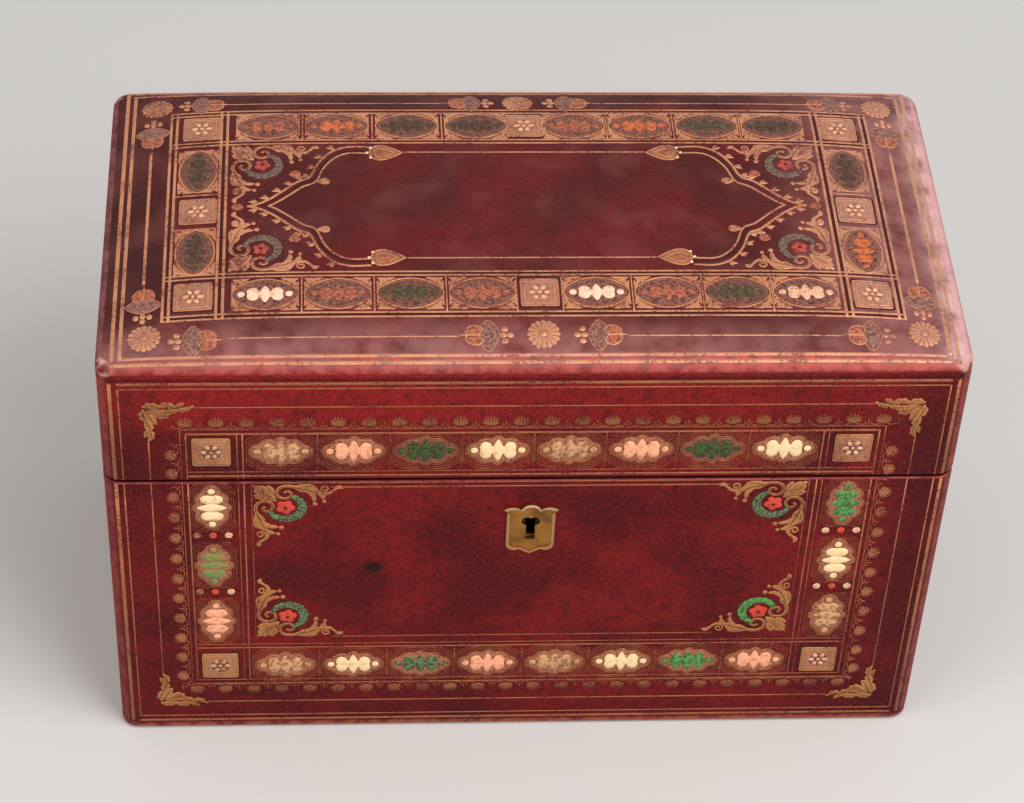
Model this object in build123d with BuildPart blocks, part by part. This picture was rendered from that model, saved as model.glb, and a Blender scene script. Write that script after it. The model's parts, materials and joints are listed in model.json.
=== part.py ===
"""A leather-covered stationery box: a wooden carcass with a hinged, gently domed lid,
a box lock, stopped butt hinges, and lined compartments for envelopes.

The frame: X to the right, Y towards the hinges, Z up, with the origin in the middle of
the underside. Everything is in millimetres. The lid is closed and the bolt is drawn back.
"""

import math
import os

from build123d import *

os.makedirs("parts", exist_ok=True)

# ---------------------------------------------------------------- driving dimensions

# The whole box, over its leather
WIDTH = 230.0
DEPTH = 115.0
EDGE_HEIGHT = 144.0        # table to the sharp edge where the lid's top would meet its front
CROWN = 5.5                # rise of the middle of the lid above that edge
CAMBER_POWER = 6           # the higher, the flatter the middle and the rounder the margin
CORNER_RADIUS = 5.0        # the upright corners
LID_EDGE_RADIUS = 2.4      # the leather rolled over the lid's top edge, pared thin inside it
RIM_CHAMFER = 0.5          # where the leather turns over at the seam and the foot
SEAM_HEIGHT = 102.7        # middle of the gap between base and lid
SEAM_GAP = 0.8

# Materials and their thicknesses
LEATHER = 1.0
BOARD = 7.0                # walls of base and lid
BOTTOM_BOARD = 6.0
LID_BOARD = 7.0            # the lid's top board, at its thin edge
REBATE = 3.0               # how far each end board enters the front and back boards
TURN_IN = 12.0             # leather pasted round on to the underside
BAIZE = 0.8                # cloth under the whole box, and what it stands on
BAIZE_MARGIN = 3.0
FLOOR_LINING = 0.8
LID_LINING = 0.5
LINER = 2.5                # thin boards that line the base and stand above its rim
LIP_RISE = 4.0             # how far they stand above it
LIP_CLEARANCE = 0.6        # between that lip and the lid's lining

# Dividers, in grooves in the end liners
DIVIDER = 2.5
DIVIDER_GROOVE = 1.0       # depth of the grooves
DIVIDER_PLAY = 0.1         # on each side of a divider in its groove or lap
FRONT_ROOM = 29.75         # clear depth in front of the front divider
BACK_ROOM = 29.75          # and behind the back one
RIGHT_ROOM = 67.25         # clear width to the right of the cross divider
FRONT_DIVIDER_HEIGHT = 66.0
BACK_DIVIDER_HEIGHT = 78.0
CROSS_DIVIDER_HEIGHT = 58.0
SCOOP_DEPTH = 9.0          # finger scoop in a divider's top edge
SCOOP_SHOULDER = 24.0      # straight stretch left at each end of it
CROSS_SCOOP_SHOULDER = 8.0
CROSS_SCOOP_DEPTH = 5.0
SHOULDER_RADIUS = 4.0

# The silk pad under the lid
PAD_BORDER = 8.0
PAD_THICKNESS = 4.5
PAD_CORNER = 8.0
PAD_CHAMFER = 1.5

# Hinges
HINGE_INSET = 28.0         # from the box's end to the hinge's
HINGE_LENGTH = 38.0
LEAF = 1.2
LEAF_SHOULDER = 0.4        # wood left in front of a leaf
BARREL_RADIUS = 2.5
BARREL_PROUD = 0.8         # how far the knuckles stand out behind the leather
BARREL_CLEARANCE = 0.4
KNUCKLE_GAP = 0.3
LID_KNUCKLE = 14.0
PIN_RADIUS = 1.0
PIN_CLEARANCE = 0.05
STOP_BEVEL = 50.0          # degrees; half of the opening angle, and a little over
HINGE_SCREW_INSET = 5.0    # from a leaf's end to its outer screw

# Countersunk screws
SCREW_HEAD_RADIUS = 1.3
SCREW_SHANK_RADIUS = 0.75
SCREW_LENGTH = 6.5
SCREW_SLOT_WIDTH = 0.35
SCREW_SLOT_DEPTH = 0.3

# The lock, let into the front board from inside
LOCK_WEB = 1.0             # wood left in front of the case
LOCK_SHEET = 1.0           # brass of the case and its plate
CASE_HEIGHT = 23.3
LOCK_FLANGE = 5.0          # of the plate and the selvedge each side of the case
LOCK_PLATE_DROP = 3.5      # of the plate below the case
SELVEDGE = 1.5
LOCK_SCREW_INSET = 2.4
KEY_X = 0.3
KEY_DROP = 15.6            # keyhole's centre below the base's rim
DRILL_PIN_RADIUS = 0.8
DRILL_PIN_LENGTH = 3.2
KEYHOLE_LOBE_RADIUS = 1.5
KEYHOLE_LOBE_OFFSET = 1.05
KEYHOLE_SLOT = 2.5
KEYHOLE_LENGTH = 7.0       # from the centre to the foot of the slot
KEYHOLE_WOOD_CLEARANCE = 0.3

# Bolt and hooks
BOLT_THICKNESS = 2.8
BOLT_THROW = 4.2
BOLT_BAR = 4.0
BOLT_POST = 2.0
BOLT_FINGER = 2.0
BOLT_CLEARANCE = 0.4
TALON_RADIUS = 2.4
GUIDE_RADIUS = 0.8
GUIDE_CLEARANCE = 0.1
HOOK_SPACING = 24.0        # between the hooks' stems
HOOK_STEM = 2.5
HOOK_TOE = 4.0
HOOK_THICKNESS = 2.4
HOOK_TOE_HEIGHT = 1.8
HOOK_DROP = 8.3            # below the lid's rim
HOOK_CLEARANCE = 0.6
LINK_PLATE_FLANGE = 8.5    # of the link plate beyond the right hook
LINK_PLATE = 1.5
BOLT_SPRING = 0.4

# Escutcheon
ESCUTCHEON_WIDTH = 13.2
ESCUTCHEON_TOP_WIDTH = 15.0
ESCUTCHEON_HEIGHT = 19.0
ESCUTCHEON_ABOVE_KEY = 6.6  # its top edge above the keyhole's centre
ESCUTCHEON_SHOULDER = 1.9  # the hollows between its lobes, below its top edge
ESCUTCHEON_SIDE_LOBE = 0.95  # height of the two side lobes
ESCUTCHEON_LOBE_HALF = 2.7  # half the width of the middle lobe
ESCUTCHEON_STEP = 0.76     # from the side lobes down to the straight sides
ESCUTCHEON_HIP = 3.6       # where the sides turn in, above the foot
ESCUTCHEON_TOE = 1.7       # where the ogee ends, above the foot
ESCUTCHEON_TOE_HALF = 2.97
ESCUTCHEON_PROUD = 0.8
ESCUTCHEON_LET_IN = 0.4
ESCUTCHEON_BORDER = 0.8
ESCUTCHEON_PANEL = 0.35    # depth of the panel inside its raised border
SPUR_RADIUS = 0.5
SPUR_CLEARANCE = 0.1       # between a spur's end and the lock's case

# ------------------------------------------------------------------- derived places

BASE_TOP = SEAM_HEIGHT - SEAM_GAP / 2
LID_BOTTOM = SEAM_HEIGHT + SEAM_GAP / 2
WOOD_WIDTH = WIDTH - 2 * LEATHER
WOOD_DEPTH = DEPTH - 2 * LEATHER
WOOD_RADIUS = CORNER_RADIUS - LEATHER
INNER_WIDTH = WOOD_WIDTH - 2 * BOARD          # between the end boards
INNER_DEPTH = WOOD_DEPTH - 2 * BOARD          # between the front and back boards
WOOD_BOTTOM = BAIZE + LEATHER
WALL_BOTTOM = WOOD_BOTTOM + BOTTOM_BOARD
BASE_WOOD_TOP = BASE_TOP - LEATHER
LID_WOOD_BOTTOM = LID_BOTTOM + LEATHER
RAIL_TOP = EDGE_HEIGHT - LEATHER - LID_BOARD  # underside of the lid's top board
FLOOR = WALL_BOTTOM + FLOOR_LINING
LIP_TOP = BASE_TOP + LIP_RISE
LIP_INSET = LID_LINING + LIP_CLEARANCE        # the lip is thinner than its liner by this
ROOM_WIDTH = INNER_WIDTH - 2 * LINER
ROOM_DEPTH = INNER_DEPTH - 2 * LINER
FRONT_DIVIDER_Y = FRONT_ROOM + DIVIDER / 2 - ROOM_DEPTH / 2
BACK_DIVIDER_Y = ROOM_DEPTH / 2 - BACK_ROOM - DIVIDER / 2
CROSS_DIVIDER_X = ROOM_WIDTH / 2 - RIGHT_ROOM - DIVIDER / 2

HINGE_Y = DEPTH / 2 + BARREL_PROUD - BARREL_RADIUS
LEAF_FRONT = INNER_DEPTH / 2 + LEAF_SHOULDER
LEAF_SCREW_Y = LEAF_FRONT + (HINGE_Y - BARREL_RADIUS - BARREL_CLEARANCE - LEAF_FRONT) / 2
HINGE_MIDDLE = WIDTH / 2 - HINGE_INSET - HINGE_LENGTH / 2
HINGE_XS = (-HINGE_MIDDLE, HINGE_MIDDLE)
HINGE_SCREW_SPACING = HINGE_LENGTH / 2 - HINGE_SCREW_INSET

LOCK_FRONT = -WOOD_DEPTH / 2 + LOCK_WEB       # front face of the lock's case
LOCK_BACK = -INNER_DEPTH / 2                  # back face of its plate, flush with the board
LOCK_MIDDLE = (LOCK_FRONT + LOCK_SHEET + LOCK_BACK - LOCK_SHEET) / 2
CASE_TOP = BASE_TOP - SELVEDGE
CASE_BOTTOM = CASE_TOP - CASE_HEIGHT
LOCK_PLATE_BOTTOM = CASE_BOTTOM - LOCK_PLATE_DROP
KEY_Z = BASE_TOP - KEY_DROP
SPUR_LENGTH = LEATHER + LOCK_WEB - ESCUTCHEON_LET_IN - SPUR_CLEARANCE

HOOK_XS = (-HOOK_SPACING / 2, HOOK_SPACING / 2)
HOOK_BOTTOM = LID_BOTTOM - HOOK_DROP
TOE_TOP = HOOK_BOTTOM + HOOK_TOE_HEIGHT
BAR_TOP = HOOK_BOTTOM - 2 * BOLT_CLEARANCE
BAR_BOTTOM = BAR_TOP - BOLT_BAR
FINGER_BOTTOM = TOE_TOP + BOLT_CLEARANCE
FINGER_TOP = FINGER_BOTTOM + BOLT_FINGER
FINGER_REACH = HOOK_TOE + HOOK_CLEARANCE      # from a hook's stem to the finger's tip at rest
BAR_RIGHT = HOOK_XS[1] - BOLT_CLEARANCE
BAR_LEFT = HOOK_XS[0] - FINGER_REACH - HOOK_TOE - BOLT_POST
CASE_WIDTH = 2 * (LOCK_SHEET + BOLT_CLEARANCE - BAR_LEFT)
LOCK_PLATE_WIDTH = CASE_WIDTH + 2 * LOCK_FLANGE
LOCK_SCREW_X = LOCK_PLATE_WIDTH / 2 - LOCK_SCREW_INSET
LINK_PLATE_WIDTH = 2 * (HOOK_XS[1] + HOOK_STEM + LINK_PLATE_FLANGE)

FULL = 400.0                                  # longer than the box, for cutters


def save(part, name):
    """Label a finished piece and write it under its node name."""
    part.label = name
    export_step(part, f"parts/{name}.step")


# ------------------------------------------------------------------ shared outlines


def keyhole_outline(clearance):
    """A keyhole with two round lobes over a straight slot, in the open XZ sketch."""
    with Locations((KEY_X - KEYHOLE_LOBE_OFFSET, KEY_Z), (KEY_X + KEYHOLE_LOBE_OFFSET, KEY_Z)):
        Circle(KEYHOLE_LOBE_RADIUS + clearance)
    with Locations((KEY_X, KEY_Z - KEYHOLE_LENGTH / 2)):
        Rectangle(KEYHOLE_SLOT + 2 * clearance, KEYHOLE_LENGTH + 2 * clearance)


def front_plane(y):
    """The XZ plane at depth y, seen from the front: sketch X is X and sketch Y is Z."""
    return Plane(origin=(0, y, 0), x_dir=(1, 0, 0), z_dir=(0, -1, 0))


def keyhole_cutter(y_front, y_back, clearance):
    with BuildPart() as cutter:
        with BuildSketch(front_plane(y_back)):
            keyhole_outline(clearance)
        extrude(amount=y_back - y_front)
    return cutter.part


def screw(x, y, z, axis, length=SCREW_LENGTH):
    """A countersunk wood screw whose slotted head lies flush at a point, driven along axis."""
    seat = Plane(origin=(x, y, z), z_dir=axis)
    head_depth = SCREW_HEAD_RADIUS - SCREW_SHANK_RADIUS
    with BuildPart() as one:
        with BuildSketch(seat):
            Circle(SCREW_HEAD_RADIUS)
        with BuildSketch(seat.offset(head_depth)):
            Circle(SCREW_SHANK_RADIUS)
        loft(ruled=True)
        with BuildSketch(seat.offset(head_depth)):
            Circle(SCREW_SHANK_RADIUS)
        extrude(amount=length - head_depth)
    return one.part


def slotted(screw_part, x, y, z, axis):
    """The same screw with the slot cut across its head."""
    seat = Plane(origin=(x, y, z), z_dir=axis)
    with BuildPart() as one:
        add(screw_part)
        with BuildSketch(seat):
            Rectangle(2 * SCREW_HEAD_RADIUS, SCREW_SLOT_WIDTH)
        extrude(amount=SCREW_SLOT_DEPTH, mode=Mode.SUBTRACT)
    return one.part


UP, DOWN, FORWARD = (0, 0, 1), (0, 0, -1), (0, -1, 0)

# Every screw: its place, the way it is driven, and the piece that it holds.
BASE_HINGE_SCREWS = [
    (hinge_x + step * HINGE_SCREW_SPACING, LEAF_SCREW_Y, BASE_TOP, DOWN)
    for hinge_x in HINGE_XS
    for step in (-1, 0, 1)
]
LID_HINGE_SCREWS = [(x, y, LID_BOTTOM, UP) for x, y, _, _ in BASE_HINGE_SCREWS]
SELVEDGE_SCREWS = [(side * LOCK_SCREW_X, LOCK_MIDDLE, BASE_TOP, DOWN) for side in (-1, 1)]
PLATE_SCREW_LENGTH = LOCK_BACK - LOCK_FRONT - LOCK_SHEET
PLATE_SCREWS = [
    (side * LOCK_SCREW_X, LOCK_BACK, LOCK_PLATE_BOTTOM + LOCK_SCREW_INSET, FORWARD)
    for side in (-1, 1)
]
LINK_SCREW_X = LINK_PLATE_WIDTH / 2 - LOCK_SCREW_INSET
LINK_SCREWS = [(side * LINK_SCREW_X, LOCK_MIDDLE, LID_BOTTOM, UP) for side in (-1, 1)]


def screw_group(places, length=SCREW_LENGTH):
    with BuildPart() as group:
        for x, y, z, axis in places:
            add(slotted(screw(x, y, z, axis, length), x, y, z, axis))
    return group.part


def screw_holes(places, length=SCREW_LENGTH):
    """Take the screws' own shapes out of the part that is open."""
    for x, y, z, axis in places:
        add(screw(x, y, z, axis, length), mode=Mode.SUBTRACT)


# ---------------------------------------------------------- shared solids and cutters


def camber(width, depth, x, y):
    """Height of the lid's crown over a point of its plan: 1 in the middle, 0 at the edge."""
    across = 1 - abs(2 * x / width) ** CAMBER_POWER
    along = 1 - abs(2 * y / depth) ** CAMBER_POWER
    return CROWN * across * along


def domed_block(width, depth, radius, z_low, z_edge):
    """A block with rounded upright corners whose top is cambered both ways.

    It is lofted through upright sections, each with a cambered top edge, and its plan is
    then trimmed to the rounded rectangle.
    """
    stations = [-1, -0.94, -0.84, -0.68, -0.4, 0, 0.4, 0.68, 0.84, 0.94, 1]
    with BuildPart() as block:
        for station in stations:
            x = station * width / 2
            tops = [
                (y_share * depth / 2, z_edge + camber(width, depth, x, y_share * depth / 2))
                for y_share in stations
            ]
            with BuildSketch(Plane.YZ.offset(x)):
                with BuildLine():
                    Spline(*tops)
                    Polyline(tops[-1], (depth / 2, z_low), (-depth / 2, z_low), tops[0])
                make_face()
        loft()
        with BuildSketch(Plane.XY.offset(z_low)):
            RectangleRounded(width, depth, radius)
        extrude(amount=z_edge + 2 * CROWN - z_low, mode=Mode.INTERSECT)
    return block.part


def bevel_cutter(direction, thickness):
    """The wedge taken off a rim behind the hinge line, so that the open lid comes to a stop.

    direction is -1 for the base and +1 for the lid; thickness is what still goes on the
    bevel afterwards: nothing for leather, the leather for wood.
    """
    slope = math.tan(math.radians(STOP_BEVEL))
    inset = thickness / math.cos(math.radians(STOP_BEVEL))
    rear = DEPTH / 2 + 1
    depth_at_rear = inset + (rear - HINGE_Y) * slope
    with BuildPart() as wedge:
        with BuildSketch(Plane.YZ.offset(-FULL / 2)):
            with BuildLine():
                Polyline(
                    (HINGE_Y - inset / slope, SEAM_HEIGHT),
                    (rear, SEAM_HEIGHT + direction * depth_at_rear),
                    (rear, SEAM_HEIGHT),
                    close=True,
                )
            make_face()
        extrude(amount=FULL)
    return wedge.part


def hinge_mortise(direction):
    """Room for the leaves and knuckles of both hinges in the base's or the lid's rim."""
    rim = SEAM_HEIGHT + direction * SEAM_GAP / 2
    with BuildPart() as mortise:
        for hinge_x in HINGE_XS:
            with BuildSketch(Plane.YZ.offset(hinge_x - HINGE_LENGTH / 2)):
                with Locations(((LEAF_FRONT + HINGE_Y) / 2, rim + direction * LEAF / 2)):
                    Rectangle(HINGE_Y - LEAF_FRONT, LEAF)
                with Locations((HINGE_Y, SEAM_HEIGHT)):
                    Circle(BARREL_RADIUS + BARREL_CLEARANCE)
            extrude(amount=HINGE_LENGTH)
    return mortise.part


def lock_mortise():
    """Room for the lock's case, plate and selvedge in the base's front board."""
    with BuildPart() as mortise:
        with BuildSketch(front_plane(LOCK_BACK)):
            with Locations((0, (CASE_TOP + CASE_BOTTOM) / 2)):
                Rectangle(CASE_WIDTH, CASE_HEIGHT)
        extrude(amount=LOCK_BACK - LOCK_FRONT)
        with BuildSketch(front_plane(LOCK_BACK)):
            with Locations((0, (CASE_TOP + LOCK_PLATE_BOTTOM) / 2)):
                Rectangle(LOCK_PLATE_WIDTH, CASE_TOP - LOCK_PLATE_BOTTOM)
        extrude(amount=LOCK_SHEET)
        with BuildSketch(Plane.XY.offset(CASE_TOP)):
            with Locations((0, (LOCK_FRONT + LOCK_BACK) / 2)):
                Rectangle(LOCK_PLATE_WIDTH, LOCK_BACK - LOCK_FRONT)
        extrude(amount=SELVEDGE)
    return mortise.part


def link_mortise():
    """Room for the link plate in the rim of the lid's front rail."""
    with BuildPart() as mortise:
        with BuildSketch(Plane.XY.offset(LID_BOTTOM)):
            with Locations((0, (LOCK_FRONT + LOCK_BACK) / 2)):
                Rectangle(LINK_PLATE_WIDTH, LOCK_BACK - LOCK_FRONT)
        extrude(amount=LINK_PLATE)
    return mortise.part


def escutcheon_outline(inset=0.0):
    """A shield: three shallow lobes along its top, straight sides, and an ogee foot.

    inset draws the same outline smaller, for the panel inside its raised border.
    """
    top = KEY_Z + ESCUTCHEON_ABOVE_KEY - inset
    shoulder = top - ESCUTCHEON_SHOULDER
    foot = top + 2 * inset - ESCUTCHEON_HEIGHT
    half_top = ESCUTCHEON_TOP_WIDTH / 2 - inset
    half = ESCUTCHEON_WIDTH / 2 - inset
    lobe = ESCUTCHEON_LOBE_HALF - inset / 2
    with BuildLine() as outline:
        for side in (-1, 1):
            tip = (KEY_X + side * half_top, shoulder)
            dip = (KEY_X + side * lobe, shoulder)
            peak = (KEY_X + side * (half_top + lobe) / 2, shoulder + ESCUTCHEON_SIDE_LOBE)
            flank = (KEY_X + side * half, shoulder - ESCUTCHEON_STEP)
            hip = (KEY_X + side * half, foot + ESCUTCHEON_HIP)
            toe = (KEY_X + side * ESCUTCHEON_TOE_HALF, foot + ESCUTCHEON_TOE)
            ThreePointArc(dip, peak, tip)
            Polyline(tip, flank, hip)
            TangentArc(hip, toe, tangent=(0, -1))
            Line(toe, (KEY_X, foot))
        ThreePointArc((KEY_X - lobe, shoulder), (KEY_X, top), (KEY_X + lobe, shoulder))
    make_face(outline.edges())


def spur_places():
    """The two spurs behind the escutcheon, one each side of the keyhole."""
    reach = ESCUTCHEON_WIDTH / 2 - 2 * SPUR_RADIUS - ESCUTCHEON_BORDER
    return [(KEY_X - reach, KEY_Z - KEYHOLE_LENGTH / 2), (KEY_X + reach, KEY_Z - KEYHOLE_LENGTH / 2)]


def escutcheon_seat():
    """The recess and the two spur holes that take the escutcheon."""
    skin = -DEPTH / 2
    with BuildPart() as seat:
        with BuildSketch(front_plane(skin + ESCUTCHEON_LET_IN)):
            escutcheon_outline()
        extrude(amount=ESCUTCHEON_LET_IN)
        with BuildSketch(front_plane(skin + ESCUTCHEON_LET_IN + SPUR_LENGTH)):
            with Locations(*spur_places()):
                Circle(SPUR_RADIUS)
        extrude(amount=SPUR_LENGTH + ESCUTCHEON_LET_IN)
    return seat.part


# ----------------------------------------------------------------- carcass of the base


def long_wall(side, z_low, z_high):
    """A front (side -1) or back (+1) board, rebated at its ends for the end boards."""
    with BuildPart() as wall:
        with BuildSketch(Plane.XY.offset(z_low)):
            RectangleRounded(WOOD_WIDTH, WOOD_DEPTH, WOOD_RADIUS)
            with Locations((0, side * (WOOD_DEPTH - BOARD) / 2)):
                Rectangle(WOOD_WIDTH, BOARD, mode=Mode.INTERSECT)
            rebate_x = (WOOD_WIDTH - BOARD) / 2
            rebate_y = side * (INNER_DEPTH + REBATE) / 2
            with Locations((-rebate_x, rebate_y), (rebate_x, rebate_y)):
                Rectangle(BOARD, REBATE, mode=Mode.SUBTRACT)
        extrude(amount=z_high - z_low)
    return wall.part


def end_wall(side, z_low, z_high):
    """A left (side -1) or right (+1) board, housed in the rebates of the long ones."""
    with BuildPart() as wall:
        with BuildSketch(Plane.XY.offset(z_low)):
            with Locations((side * (WOOD_WIDTH - BOARD) / 2, 0)):
                Rectangle(BOARD, INNER_DEPTH + 2 * REBATE)
        extrude(amount=z_high - z_low)
    return wall.part


with BuildPart() as bottom_board:
    with BuildSketch(Plane.XY.offset(WOOD_BOTTOM)):
        RectangleRounded(WOOD_WIDTH, WOOD_DEPTH, WOOD_RADIUS)
    extrude(amount=BOTTOM_BOARD)
save(bottom_board.part, "bottom_board")

with BuildPart() as front_board:
    add(long_wall(-1, WALL_BOTTOM, BASE_WOOD_TOP))
    add(lock_mortise(), mode=Mode.SUBTRACT)
    add(keyhole_cutter(-WOOD_DEPTH / 2, LOCK_FRONT, KEYHOLE_WOOD_CLEARANCE), mode=Mode.SUBTRACT)
    add(escutcheon_seat(), mode=Mode.SUBTRACT)
    screw_holes(SELVEDGE_SCREWS)
    screw_holes(PLATE_SCREWS, PLATE_SCREW_LENGTH)
save(front_board.part, "front_board")

with BuildPart() as back_board:
    add(long_wall(1, WALL_BOTTOM, BASE_WOOD_TOP))
    add(bevel_cutter(-1, LEATHER), mode=Mode.SUBTRACT)
    add(hinge_mortise(-1), mode=Mode.SUBTRACT)
    screw_holes(BASE_HINGE_SCREWS)
save(back_board.part, "back_board")

for end_side, end_name in ((-1, "left_board"), (1, "right_board")):
    save(end_wall(end_side, WALL_BOTTOM, BASE_WOOD_TOP), end_name)

# ------------------------------------------------------------------ skins of the base


def carcass_block(z_low, z_high, direction):
    """The whole wooden carcass of the base or the lid as one solid, for cutting its leather."""
    with BuildPart() as block:
        with BuildSketch(Plane.XY.offset(z_low)):
            RectangleRounded(WOOD_WIDTH, WOOD_DEPTH, WOOD_RADIUS)
        extrude(amount=z_high - z_low)
        add(bevel_cutter(direction, LEATHER), mode=Mode.SUBTRACT)
    return block.part


with BuildPart() as base_leather:
    with BuildSketch(Plane.XY.offset(BAIZE)):
        RectangleRounded(WIDTH, DEPTH, CORNER_RADIUS)
    extrude(amount=BASE_TOP - BAIZE)
    chamfer(faces().sort_by(Axis.Z)[-1].edges(), RIM_CHAMFER)
    chamfer(faces().sort_by(Axis.Z)[0].edges(), RIM_CHAMFER)
    add(bevel_cutter(-1, 0), mode=Mode.SUBTRACT)
    add(carcass_block(WOOD_BOTTOM, BASE_WOOD_TOP, -1), mode=Mode.SUBTRACT)
    with BuildSketch(Plane.XY.offset(WOOD_BOTTOM)):
        Rectangle(INNER_WIDTH, INNER_DEPTH)
    extrude(amount=BASE_TOP, mode=Mode.SUBTRACT)
    with BuildSketch(Plane.XY.offset(BAIZE)):
        Rectangle(WIDTH - 2 * TURN_IN, DEPTH - 2 * TURN_IN)
    extrude(amount=LEATHER, mode=Mode.SUBTRACT)
    add(hinge_mortise(-1), mode=Mode.SUBTRACT)
    add(lock_mortise(), mode=Mode.SUBTRACT)
    add(escutcheon_seat(), mode=Mode.SUBTRACT)
    add(keyhole_cutter(-DEPTH / 2, -WOOD_DEPTH / 2, KEYHOLE_WOOD_CLEARANCE), mode=Mode.SUBTRACT)
save(base_leather.part, "base_leather")

# Card makes the underside level between the turned-in edges, and baize covers it all.
with BuildPart() as underside_card:
    with BuildSketch(Plane.XY.offset(BAIZE)):
        Rectangle(WIDTH - 2 * TURN_IN, DEPTH - 2 * TURN_IN)
    extrude(amount=LEATHER)
save(underside_card.part, "underside_card")

with BuildPart() as underside_baize:
    with BuildSketch():
        RectangleRounded(WIDTH - 2 * BAIZE_MARGIN, DEPTH - 2 * BAIZE_MARGIN, WOOD_RADIUS)
    extrude(amount=BAIZE)
save(underside_baize.part, "underside_baize")

with BuildPart() as floor_lining:
    with BuildSketch(Plane.XY.offset(WALL_BOTTOM)):
        Rectangle(INNER_WIDTH, INNER_DEPTH)
    extrude(amount=FLOOR_LINING)
save(floor_lining.part, "floor_lining")


def lip_relief():
    """What comes off the outside of the liners above the rim, so that the lid clears them."""
    with BuildPart() as relief:
        with BuildSketch(Plane.XY.offset(BASE_TOP)):
            Rectangle(WIDTH, DEPTH)
            Rectangle(INNER_WIDTH - 2 * LIP_INSET, INNER_DEPTH - 2 * LIP_INSET, mode=Mode.SUBTRACT)
        extrude(amount=2 * LIP_RISE)
    return relief.part


for liner_side, liner_name in ((-1, "front_liner"), (1, "back_liner")):
    with BuildPart() as long_liner:
        with BuildSketch(Plane.XY.offset(FLOOR)):
            with Locations((0, liner_side * (INNER_DEPTH - LINER) / 2)):
                Rectangle(INNER_WIDTH, LINER)
        extrude(amount=LIP_TOP - FLOOR)
        add(lip_relief(), mode=Mode.SUBTRACT)
    save(long_liner.part, liner_name)

for liner_side, liner_name in ((-1, "left_liner"), (1, "right_liner")):
    with BuildPart() as end_liner:
        with BuildSketch(Plane.XY.offset(FLOOR)):
            with Locations((liner_side * (INNER_WIDTH - LINER) / 2, 0)):
                Rectangle(LINER, ROOM_DEPTH)
        extrude(amount=LIP_TOP - FLOOR)
        add(lip_relief(), mode=Mode.SUBTRACT)
        for groove_y, groove_height in (
            (FRONT_DIVIDER_Y, FRONT_DIVIDER_HEIGHT),
            (BACK_DIVIDER_Y, BACK_DIVIDER_HEIGHT),
        ):
            with BuildSketch(Plane.XY.offset(FLOOR)):
                with Locations((liner_side * (ROOM_WIDTH + DIVIDER_GROOVE) / 2, groove_y)):
                    Rectangle(DIVIDER_GROOVE, DIVIDER + 2 * DIVIDER_PLAY)
            extrude(amount=groove_height, mode=Mode.SUBTRACT)
    save(end_liner.part, liner_name)

# -------------------------------------------------------------------------- dividers


def scooped_outline(length, height, shoulder, scoop):
    """A divider's face: a rectangle with a shallow finger scoop in its top edge."""
    half = length / 2
    lip = half - shoulder
    with BuildLine() as outline:
        Polyline((-lip, height), (-half, height), (-half, 0), (half, 0), (half, height), (lip, height))
        ThreePointArc((lip, height), (0, height - scoop), (-lip, height))
    make_face(outline.edges())


LAP_HEIGHT = CROSS_DIVIDER_HEIGHT / 2

for divider_y, divider_height, divider_name in (
    (FRONT_DIVIDER_Y, FRONT_DIVIDER_HEIGHT, "front_divider"),
    (BACK_DIVIDER_Y, BACK_DIVIDER_HEIGHT, "back_divider"),
):
    with BuildPart() as divider:
        face_plane = Plane(origin=(0, divider_y + DIVIDER / 2, FLOOR), x_dir=(1, 0, 0), z_dir=(0, -1, 0))
        with BuildSketch(face_plane):
            scooped_outline(
                ROOM_WIDTH + 2 * (DIVIDER_GROOVE - DIVIDER_PLAY), divider_height, SCOOP_SHOULDER, SCOOP_DEPTH
            )
            with Locations((CROSS_DIVIDER_X, LAP_HEIGHT / 2)):
                Rectangle(DIVIDER + 2 * DIVIDER_PLAY, LAP_HEIGHT, mode=Mode.SUBTRACT)
        extrude(amount=DIVIDER)
        shoulders = edges().filter_by(Axis.Y).filter_by(
            lambda edge, top=FLOOR + divider_height: abs(edge.center().Z - top) < DIVIDER_PLAY
            and abs(edge.center().X) < ROOM_WIDTH / 2
        )
        fillet(shoulders, SHOULDER_RADIUS)
    save(divider.part, divider_name)

with BuildPart() as cross_divider:
    cross_plane = Plane(origin=(CROSS_DIVIDER_X - DIVIDER / 2, 0, FLOOR), x_dir=(0, 1, 0), z_dir=(1, 0, 0))
    with BuildSketch(cross_plane):
        scooped_outline(
            ROOM_DEPTH - 2 * DIVIDER_PLAY, CROSS_DIVIDER_HEIGHT, CROSS_SCOOP_SHOULDER, CROSS_SCOOP_DEPTH
        )
        for lap_y in (FRONT_DIVIDER_Y, BACK_DIVIDER_Y):
            with Locations((lap_y, LAP_HEIGHT + CROSS_DIVIDER_HEIGHT / 2)):
                Rectangle(DIVIDER + 2 * DIVIDER_PLAY, CROSS_DIVIDER_HEIGHT, mode=Mode.SUBTRACT)
    extrude(amount=DIVIDER)
save(cross_divider.part, "cross_divider")

# ------------------------------------------------------------------------------ lock

with BuildPart() as lock_case:
    with BuildSketch(front_plane(LOCK_BACK - LOCK_SHEET)):
        with Locations((0, (CASE_TOP + CASE_BOTTOM) / 2)):
            Rectangle(CASE_WIDTH, CASE_HEIGHT)
    extrude(amount=LOCK_BACK - LOCK_SHEET - LOCK_FRONT)
    with BuildSketch(front_plane(LOCK_BACK - LOCK_SHEET)):
        with Locations((0, (CASE_TOP + CASE_BOTTOM + LOCK_SHEET) / 2)):
            Rectangle(CASE_WIDTH - 2 * LOCK_SHEET, CASE_HEIGHT - LOCK_SHEET)
    extrude(amount=LOCK_BACK - 2 * LOCK_SHEET - LOCK_FRONT, mode=Mode.SUBTRACT)
    add(keyhole_cutter(LOCK_FRONT, LOCK_FRONT + LOCK_SHEET, 0), mode=Mode.SUBTRACT)
save(lock_case.part, "lock_case")

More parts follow.
